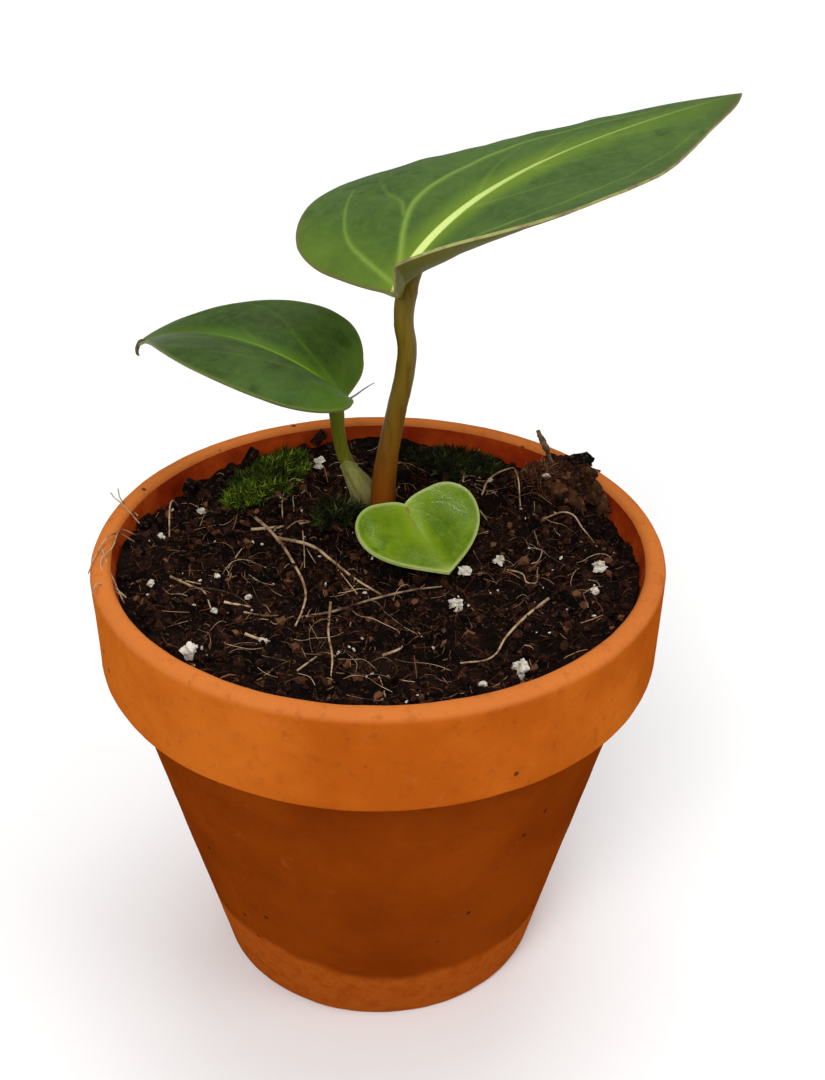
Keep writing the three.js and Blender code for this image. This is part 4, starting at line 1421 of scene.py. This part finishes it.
# %% Clump
lump_shapes = [lump_shape(3, 1.0, 20 + seed) for seed in range(3)]
LUMPS = [
    (34, 27.5, 82.4, 6), (37.5, 25.5, 82.8, 6), (36.5, 29, 83.4, 4.5), (40, 22, 81.8, 5),
    (39.5, 26, 83.6, 4.5), (42, 18, 81, 4), (33, 23.5, 81.2, 6), (37, 21, 80.6, 5),
    (29.5, 29, 80.8, 4),
]
lumps = []
for index, (x, y, z, size) in enumerate(LUMPS):
    sizes = (size, size * 0.8, size * 0.62)
    lumps.append((index, (x, y, z), sizes, any_turn(dice), 0.3 + 0.06 * index))
clump = scatter("peat_clump", lump_shapes, lumps)
smooth(clump, 60)
clump_finish = toned_finish("clump_peat", paint(30, 15, 9), paint(70, 42, 25), paint(134, 96, 60))
settle(clump, "peat_clump", [clump_finish], "peat")

clear_selection()
bpy.ops.mesh.primitive_cube_add(size=1, location=(0, 0, 0))
chip = bpy.context.object
bpy.ops.object.mode_set(mode="EDIT")
bpy.ops.mesh.subdivide(number_cuts=3)
bpy.ops.object.mode_set(mode="OBJECT")
noise.seed_set(7)
for vertex in chip.data.vertices:
    shake = noise.noise_vector(vertex.co * 2.4) * 0.16
    vertex.co = vertex.co + shake
chip_shape = take_shape(chip)
chip_turn = Quaternion((0, 0, 1), 0.5) @ Quaternion((1, 0, 0), 0.25)
chips = [(0, (37.8, 28.8, 85.2), (4.2, 2.4, 1.9), chip_turn, 0.05)]
BACK_CHIPS = [
    (-36, 23.5, 82.2, 3.2), (-25.5, 35, 82.4, 3.4), (-12.5, 42.5, 82.6, 3),
    (-42.5, 11.5, 80.9, 3),
]
for x, y, z, size in BACK_CHIPS:
    chips.append((0, (x, y, z), (size, size * 0.6, size * 0.5), any_turn(dice), dice.random() * 0.5))
bark_chips = scatter("bark_chips", [chip_shape], chips)
smooth(bark_chips, 40)
settle(bark_chips, "bark_chips", [crumb_finish], "peat")
print("lumps", len(lumps), "chips", len(chips))

# %% [markdown]
# ## Loose fibres
# Peat is full of short plant fibres. Most lie almost flat and point any way, and a
# few stand out of the bed. Some are paler than the peat, which gives it its texture.

# %% Fibres
FIBRE_COUNT = 2600
CLUMP_FIBRES = 420
fibres = []
while len(fibres) < FIBRE_COUNT:
    x, y = bed_spot(0.98)
    length = 1.6 + 4.4 * dice.random() ** 2
    z = ground(x, y) + 0.25
    if not is_clear(x, y, z, length * 0.5 + 0.3):
        continue
    if math.hypot(x, y) + length * 0.5 > 45:
        length = 1.6
    heading = Quaternion((0, 0, 1), dice.uniform(0, 6.28))
    lean_over = Quaternion((0, 1, 0), 1.57 + dice.gauss(0, 0.28))
    breadth = dice.uniform(0.12, 0.3)
    kind = dice.randrange(4)
    rotation = heading @ lean_over
    fibres.append((kind, (x, y, z), (breadth, breadth, length), rotation, dice.random()))
for _ in range(CLUMP_FIBRES):
    reach = dice.random()
    angle = dice.uniform(0, 6.28)
    x = clump_x - 1 + 6.5 * reach * math.cos(angle)
    y = clump_y - 1 + 5.5 * reach * math.sin(angle)
    z = 82.4 + 2.8 * (1 - reach * reach)
    sizes = (0.2, 0.2, dice.uniform(1.5, 4.5))
    drop(fibres, 4, (x, y, z), sizes, (0.4, 1))
fibre_piece = scatter("peat_fibres", fibre_shapes, fibres)
fibre_finish = toned_finish("peat_fibre", paint(10, 5, 4), paint(74, 38, 23), paint(166, 126, 88), 0.75)
smooth(fibre_piece, 60)
settle(fibre_piece, "peat_fibres", [fibre_finish], "peat")

# %% [markdown]
# ## Perlite
# Potting mixes hold perlite: white puffed grains that float up and lie on the
# surface. The nine larger grains stand where the CAD grains are, and many small bits
# lie between them.

# %% Perlite grains
perlite_shapes = [lump_shape(3, 0.85, 40 + seed) for seed in range(4)]
small_perlite = [lump_shape(2, 0.8, 50 + seed) for seed in range(3)]
white = two_toned(
    "perlite_white", (0.85, 0.2), (900, 5, 0.7), (0.3, 0.6),
    paint(150, 138, 118), paint(214, 206, 192), None, 0.0003,
)
for number in range(1, 10):
    grain_low, grain_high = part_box(f"perlite_grain_{number}")
    middle = ((grain_low + grain_high) / 2 - pot_axis) / MM
    sides = (grain_high - grain_low) / MM
    spot = (middle.x, middle.y, max(middle.z, ground(middle.x, middle.y) + sides.z * 0.25))
    grain_turn = Quaternion((0, 0, 1), number)
    one = [(number, spot, (sides.x, sides.y, sides.z), grain_turn, 0.5)]
    grain = scatter(f"perlite_{number}", perlite_shapes, one)
    smooth(grain, 45)
    settle(grain, f"perlite_{number}", [white], "perlite", f"perlite_grain_{number}")

BIT_COUNT = 120
SMALL_GRAINS = [
    (13.2, -13.3, 2.2), (23, -33, 1.8), (-12.2, 34.8, 1.6), (-18.5, 36, 1.5), (-39.4, 7.7, 1.6),
    (-33, 17.1, 1.5), (-21.9, -11.8, 1.3), (-18.5, -24.5, 1.4), (-27.4, -15.5, 1.4),
    (-30.2, -29.2, 2.4), (16.9, -36.8, 1.4), (21, 30, 1.3), (31, 24, 1.4), (-28.1, -4.3, 1.2),
]
bits = []
for x, y, size in SMALL_GRAINS:
    spot = (x, y, ground(x, y) + size * 0.3)
    drop(bits, 3, spot, (size, size * 0.8, size * 0.7))
while len(bits) < BIT_COUNT:
    x, y = bed_spot(0.97)
    size = dice.uniform(0.25, 0.75)
    spot = (x, y, ground(x, y) + size * 0.3)
    if is_clear(x, y, ground(x, y), size + 0.4):
        drop(bits, 3, spot, (size, size * 0.7, size * 0.6))
perlite_bits = scatter("perlite_bits", small_perlite, bits)
smooth(perlite_bits, 45)
settle(perlite_bits, "perlite_bits", [white], "perlite")


# %% [markdown]
# ## Moss
# Moss makes low feathery cushions of upright shoots, each a stem with tiny leaves.
# One shoot is modelled from flattened cones and then scattered thickly over a low
# mound, leaning outwards towards the rim of the cushion.

# %% Moss shoot
def shoot_shape(leaflets, spin_step):
    clear_selection()
    bpy.ops.mesh.primitive_cone_add(vertices=3, radius1=0.05, radius2=0.02, depth=1)
    stem, faces = take_shape(bpy.context.object)
    stem = stem + np.array((0, 0, 0.5))
    points = [stem]
    count = len(stem)
    for index in range(leaflets):
        bpy.ops.mesh.primitive_cone_add(vertices=3, radius1=0.11, depth=0.62)
        leaf_points, leaf_faces = take_shape(bpy.context.object)
        leaf_points = leaf_points * np.array((1, 0.3, 1)) + np.array((0, 0, 0.3))
        opening = Matrix.Rotation(0.75, 3, "X")
        around = Matrix.Rotation(index * spin_step, 3, "Z")
        turned = leaf_points @ np.array(around @ opening).T
        turned = turned + np.array((0, 0, 0.25 + 0.7 * index / leaflets))
        points.append(turned)
        faces += [[corner + count for corner in face] for face in leaf_faces]
        count += len(turned)
    return np.vstack(points), faces


shoot_shapes = [shoot_shape(7, 2.4), shoot_shape(6, 2.1)]
print("faces of one shoot", len(shoot_shapes[0][1]))


# %% Moss cushions
def moss_finish(name, dark, light, tip):
    finish = new_finish(name, 0.8, 0.1)
    tone = attribute(finish, "tone")
    patch = spread(finish, cloud(finish, 300, 3), 0.35, 0.65)
    colour = mixed(finish, maths(finish, "MULTIPLY", tone, patch), dark, light)
    colour = mixed(finish, spread(finish, tone, 0.75, 1.0, 0.0, 0.7), colour, tip)
    feed(finish, "Base Color", colour)
    bumps(finish, cloud(finish, 1800, 3), 0.0001)
    return finish


NEAR_WALL = 44.6


def moss_cushion(name, node, finish, middle, length, width, turned, height, shoots, reach):
    middle_x, middle_y = middle
    turn_angle = math.radians(turned)
    base = ground(middle_x, middle_y)
    mound_turn = Quaternion((0, 0, 1), turn_angle)
    mound_spot = (middle_x, middle_y, base - 0.2)
    mound_size = (length * 0.92, width * 0.92, height * 1.2)
    copies = [(0, mound_spot, mound_size, mound_turn, 0.0)]
    mound = scatter(name + "_mound", [lump_shape(3, 0.35, 60)], copies)
    shoot_copies = []
    while len(shoot_copies) < shoots:
        share = math.sqrt(dice.random())
        angle = dice.uniform(0, 6.28)
        along = share * length / 2 * math.cos(angle)
        across = share * width / 2 * math.sin(angle)
        x = middle_x + along * math.cos(turn_angle) - across * math.sin(turn_angle)
        y = middle_y + along * math.sin(turn_angle) + across * math.cos(turn_angle)
        if math.hypot(x, y) > NEAR_WALL:
            continue
        z = base - 0.3 + height * 0.62 * math.sqrt(max(0, 1 - share**2))
        z = max(z, ground(x, y) - 0.2)
        lean_way = Vector((-(y - middle_y), x - middle_x, 0.001))
        tip_over = Quaternion(lean_way, 0.25 + 0.75 * share + dice.gauss(0, 0.25))
        size = reach * dice.uniform(0.6, 1.15)
        tone = dice.random()
        kind = dice.randrange(2)
        spin = Quaternion((0, 0, 1), dice.uniform(0, 6.28))
        shoot_copies.append((kind, (x, y, z), (size, size, size), tip_over @ spin, tone))
    shoots_piece = scatter(name + "_shoots", shoot_shapes, shoot_copies)
    smooth(shoots_piece, 50)
    smooth(mound, 60)
    settle(mound, name + "_mound", [finish], "moss", node)
    settle(shoots_piece, name + "_shoots", [finish], "moss")


moss_bright = moss_finish("moss_bright", paint(30, 38, 6), paint(84, 104, 14), paint(132, 152, 40))
moss_dull = moss_finish("moss_dull", paint(20, 20, 6), paint(46, 52, 14), paint(80, 86, 34))
moss_cushion("moss_left", "moss_back_left", moss_bright, place(127, 0.8), 22, 9, 61, 2.7, 760, 2.4)
moss_cushion("moss_right", "moss_back_right", moss_dull, place(69, 0.85), 18, 8, -12, 2.2, 520, 2.0)
tuft_x, tuft_y = place(123, 0.41)
moss_cushion("moss_front", "moss_tuft", moss_dull, (tuft_x + 2.4, tuft_y - 2.2), 5.5, 5, 0, 3, 90, 3.0)


# %% [markdown]
# ## Roots on the surface
# Pale feeder roots have grown out over the peat and dried there: a few stout ones
# that cross each other, and fine hairs between them. Each is a thin tube laid from
# point to point on the ground, with a little play in its height.

# %% Stout roots
def lay(points, radius, lift=0.25, thin_end=0.5, arch=0.0):
    line = []
    for index, (x, y) in enumerate(points):
        share = index / (len(points) - 1)
        height = ground(x, y) + radius + lift + arch * math.sin(math.pi * share)
        height += dice.uniform(-0.1, 0.25)
        line.append((x, y, height, radius * (1 - (1 - thin_end) * share)))
    return line


root_skin = two_toned(
    "dry_root", (0.75, 0.15), (260, 4, 0.6), (0.36, 0.66),
    paint(188, 160, 124), paint(104, 74, 48), (1500, 4), 0.0001,
)
dark_root_skin = two_toned(
    "dark_root", (0.8, 0.12), (300, 4, 0.6), (0.4, 0.66),
    paint(64, 44, 30), paint(150, 124, 96), None, 0.0001,
)

STOUT_ROOTS = [
    ("surface_root_1", [(-23.5, 11.5), (-18, 12), (-13.5, 13.5), (-10, 14.5)], 0.3, root_skin),
    ("surface_root_2", [(-23, 15), (-19.5, 9.5), (-15, -1), (-12.5, -9), (-12.5, -15),
                        (-13.5, -20)], 0.32, root_skin),
    ("surface_root_3", [(-18.5, 8), (-12.5, 6), (-8.5, 1), (-4.5, -4.5), (0.5, -10)], 0.34, root_skin),
    ("surface_root_4", [(-13, -17.5), (-7.5, -15), (-0.5, -11), (6, -8), (11, -5.5)], 0.27, dark_root_skin),
    ("surface_root_5", [(-8, -13), (-8, -21.5), (-7, -30), (-7, -35)], 0.24, root_skin),
    ("surface_root_6", [(29, -11.5), (24.5, -18), (21, -24.5), (18.5, -28.5),
                        (13.5, -29.5)], 0.26, root_skin),
    ("surface_root_7", [(-36, -5.5), (-32, -8), (-29.5, -11.5), (-28, -15)], 0.24, root_skin),
]
for node_name, points, radius, skin in STOUT_ROOTS:
    root = make_tubes("root", [lay(points, radius)], 2, 7)
    roughen(root, 1.6, 0.12, node_name + "_knots")
    settle(root, "laid_" + node_name, [skin], "root", node_name)

# %% [markdown]
# The finer roots each keep to a place of their own too: loops at the right, short
# white pieces at the front, and threads that hang over the left of the rim.

# %% Fine roots
FINE_ROOTS = [
    ([(-36, -5.5), (-30.5, -7.5)], 0.16, 0), ([(-14, 10), (-13.4, 4), (-13, -2)], 0.13, 0.3),
    ([(-18, 9.5), (-14.5, 13.5), (-11.5, 14)], 0.18, 0.4),
    ([(19, 22.5), (21, 28.5), (24, 30), (25.5, 25.5), (26, 18.5)], 0.2, 2.2),
    ([(15.5, 29), (17, 36.5), (20.5, 43.6)], 0.15, 1.6),
    ([(30, 14.5), (34.5, 15.5), (37, 11.5), (39, 5.5)], 0.18, 0.8),
    ([(22.5, -2), (25, -4.5), (26, -7), (28, -1)], 0.16, 0.3),
    ([(-26, -13), (-21.5, -13.5)], 0.26, 0), ([(-22.5, -15), (-18.5, -17), (-16.5, -17.5)], 0.17, 0),
    ([(-21.5, -23.5), (-19, -24.5), (-17.5, -24)], 0.26, 0),
    ([(-12.5, -32.5), (-10, -30), (-9, -26.5)], 0.17, 0.2),
    ([(1, -27.5), (3.5, -26), (4.5, -23.5)], 0.24, 0.3),
    ([(0.5, -33), (1.5, -36.5), (1, -39.5)], 0.19, 0),
    ([(-26.5, -1), (-24.5, 4)], 0.16, 0.2), ([(-18, 15), (-18.4, 21), (-18, 26.5)], 0.11, 0.4),
    ([(18.5, 18.5), (20, 14.5)], 0.2, 0.3), ([(-7, -3), (-3, -11.5)], 0.12, 0.2),
    ([(12.5, -6.5), (16.5, -14.5)], 0.12, 0.2), ([(-38, 8), (-38.5, 16), (-38, 21.5)], 0.15, 2.6),
]
fine_lines = [lay(points, radius, 0.2, 0.6, arch) for points, radius, arch in FINE_ROOTS]
RIM_THREADS = [
    [(-42.5, -13, 81), (-45.5, -11.5, 83.4), (-47.2, -8.5, 84.9), (-46, -3, 84.9),
     (-45.5, 3, 84.7), (-43.6, 6, 82)],
    [(-42.6, -14.5, 80.8), (-45.6, -9, 83.6), (-47.6, -4, 85)],
    [(-47, -17.5, 84.9), (-46.5, -14.8, 85), (-43.4, -13.5, 82)],
    [(-43.5, 5, 81), (-46.4, 1.5, 84.9), (-48.6, -6, 84.7), (-49.2, -9.5, 83.6)],
    [(-43.5, 10, 82), (-46.6, 11.5, 85.2), (-48.2, 12.6, 86.0), (-48.6, 12.4, 87.0)],
    [(-44, 12, 82.4), (-47, 13, 85.2), (-47.6, 14.2, 86.8)],
]
for line in RIM_THREADS:
    fine_lines.append([(x, y, z, 0.14 - 0.01 * index) for index, (x, y, z) in enumerate(line)])
fine_roots = make_tubes("fine", fine_lines, 1, 6)
settle(fine_roots, "fine_roots", [root_skin], "root")
print("fine roots", len(fine_lines))

# %% [markdown]
# Last come the root hairs, too many to place one by one: each wanders a few steps
# from a seeded start, in slow bends.

# %% Root hairs
HAIR_COUNT = 130
hair_lines = []
while len(hair_lines) < HAIR_COUNT:
    x, y = bed_spot(0.9)
    heading = dice.uniform(0, 6.28)
    radius = dice.uniform(0.04, 0.085)
    bend = dice.uniform(-0.5, 0.5)
    points = []
    for step in range(dice.randrange(3, 7)):
        points.append((x, y))
        heading += bend + dice.gauss(0, 0.25)
        stride = dice.uniform(1.2, 2.6)
        x += stride * math.cos(heading)
        y += stride * math.sin(heading)
    inside = all(math.hypot(*point) < 44 for point in points)
    if inside and all(is_clear(*point, ground(*point) + 0.5, 0.9) for point in points):
        hair_lines.append(lay(points, radius, 0.3, 0.7, dice.uniform(0, 0.8)))
half_count = len(hair_lines) // 2
pale_hairs = make_tubes("hairs", hair_lines[:half_count], 0, 4)
settle(pale_hairs, "root_hairs_pale", [root_skin], "root")
dark_hairs = make_tubes("hairs", hair_lines[half_count:], 0, 4)
settle(dark_hairs, "root_hairs_dark", [dark_root_skin], "root")

# %% [markdown]
# ## A dead twig and a stray fibre
# A dry bit of twig stands up from the clump at the back, knobbly and flaking. Behind
# the middle leaf a single grey fibre sticks out, left over from an old bud scale.

# %% Twig and fibre
twig_x, twig_y = place(41.6, 0.91)
TWIG = [
    (3.0, -0.9, -2.5, 0.35), (2.3, -0.6, 0.2, 0.32), (0.9, 0.0, 2.5, 0.36),
    (0.2, 0.6, 4.2, 0.62), (-0.7, 1.0, 5.8, 0.6), (-1.5, 1.5, 7.4, 0.32),
]
twig_ground = 84.2
twig_line = [(twig_x + x, twig_y + y, twig_ground + z, radius) for x, y, z, radius in TWIG]
twig = make_tubes("twig", [twig_line], 4, 8)
roughen(twig, 0.7, 0.45, "twig_flakes")
twig_bark = two_toned(
    "twig_bark", (0.85, 0.1), (700, 5, 0.65), (0.35, 0.65),
    paint(44, 32, 24), paint(108, 84, 62), None, 0.0003,
)
settle(twig, "dry_twig", [twig_bark], "bark", "dead_twig")

fibre_base = leaf_point(MIDDLE, 0.2)[0]
stray = []
STRAY = [
    (0.2, -1.0, -0.9, 0.24), (2.2, -1.2, 0.2, 0.2), (4.4, -1.0, 1.8, 0.13),
    (6.2, -1.2, 3.1, 0.07),
]
for x, y, z, radius in STRAY:
    stray.append((fibre_base.x + x, fibre_base.y + y, fibre_base.z + z, radius))
stray_fibre = make_tubes("stray", [stray], 1, 5)
grey = two_toned(
    "grey_fibre", (0.8, 0.1), (800, 3), (0.3, 0.7),
    paint(92, 96, 84), paint(136, 138, 124), (1500, 3), 0.00005,
)
settle(stray_fibre, "stray_bud_fibre", [grey], "root")

# %% [markdown]
# ## Check the size
# The looks must not change the size of the object: the box of what shows is compared
# with the imported model's box, and both boxes are held in a table.

# %% Compare the boxes
low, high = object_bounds()
sizes = {
    "cad": [list(cad_low), list(cad_high)],
    "visual": [list(low), list(high)],
}
print("grown in mm", [round((high[k] - low[k] - cad_high[k] + cad_low[k]) / MM, 2) for k in range(3)])
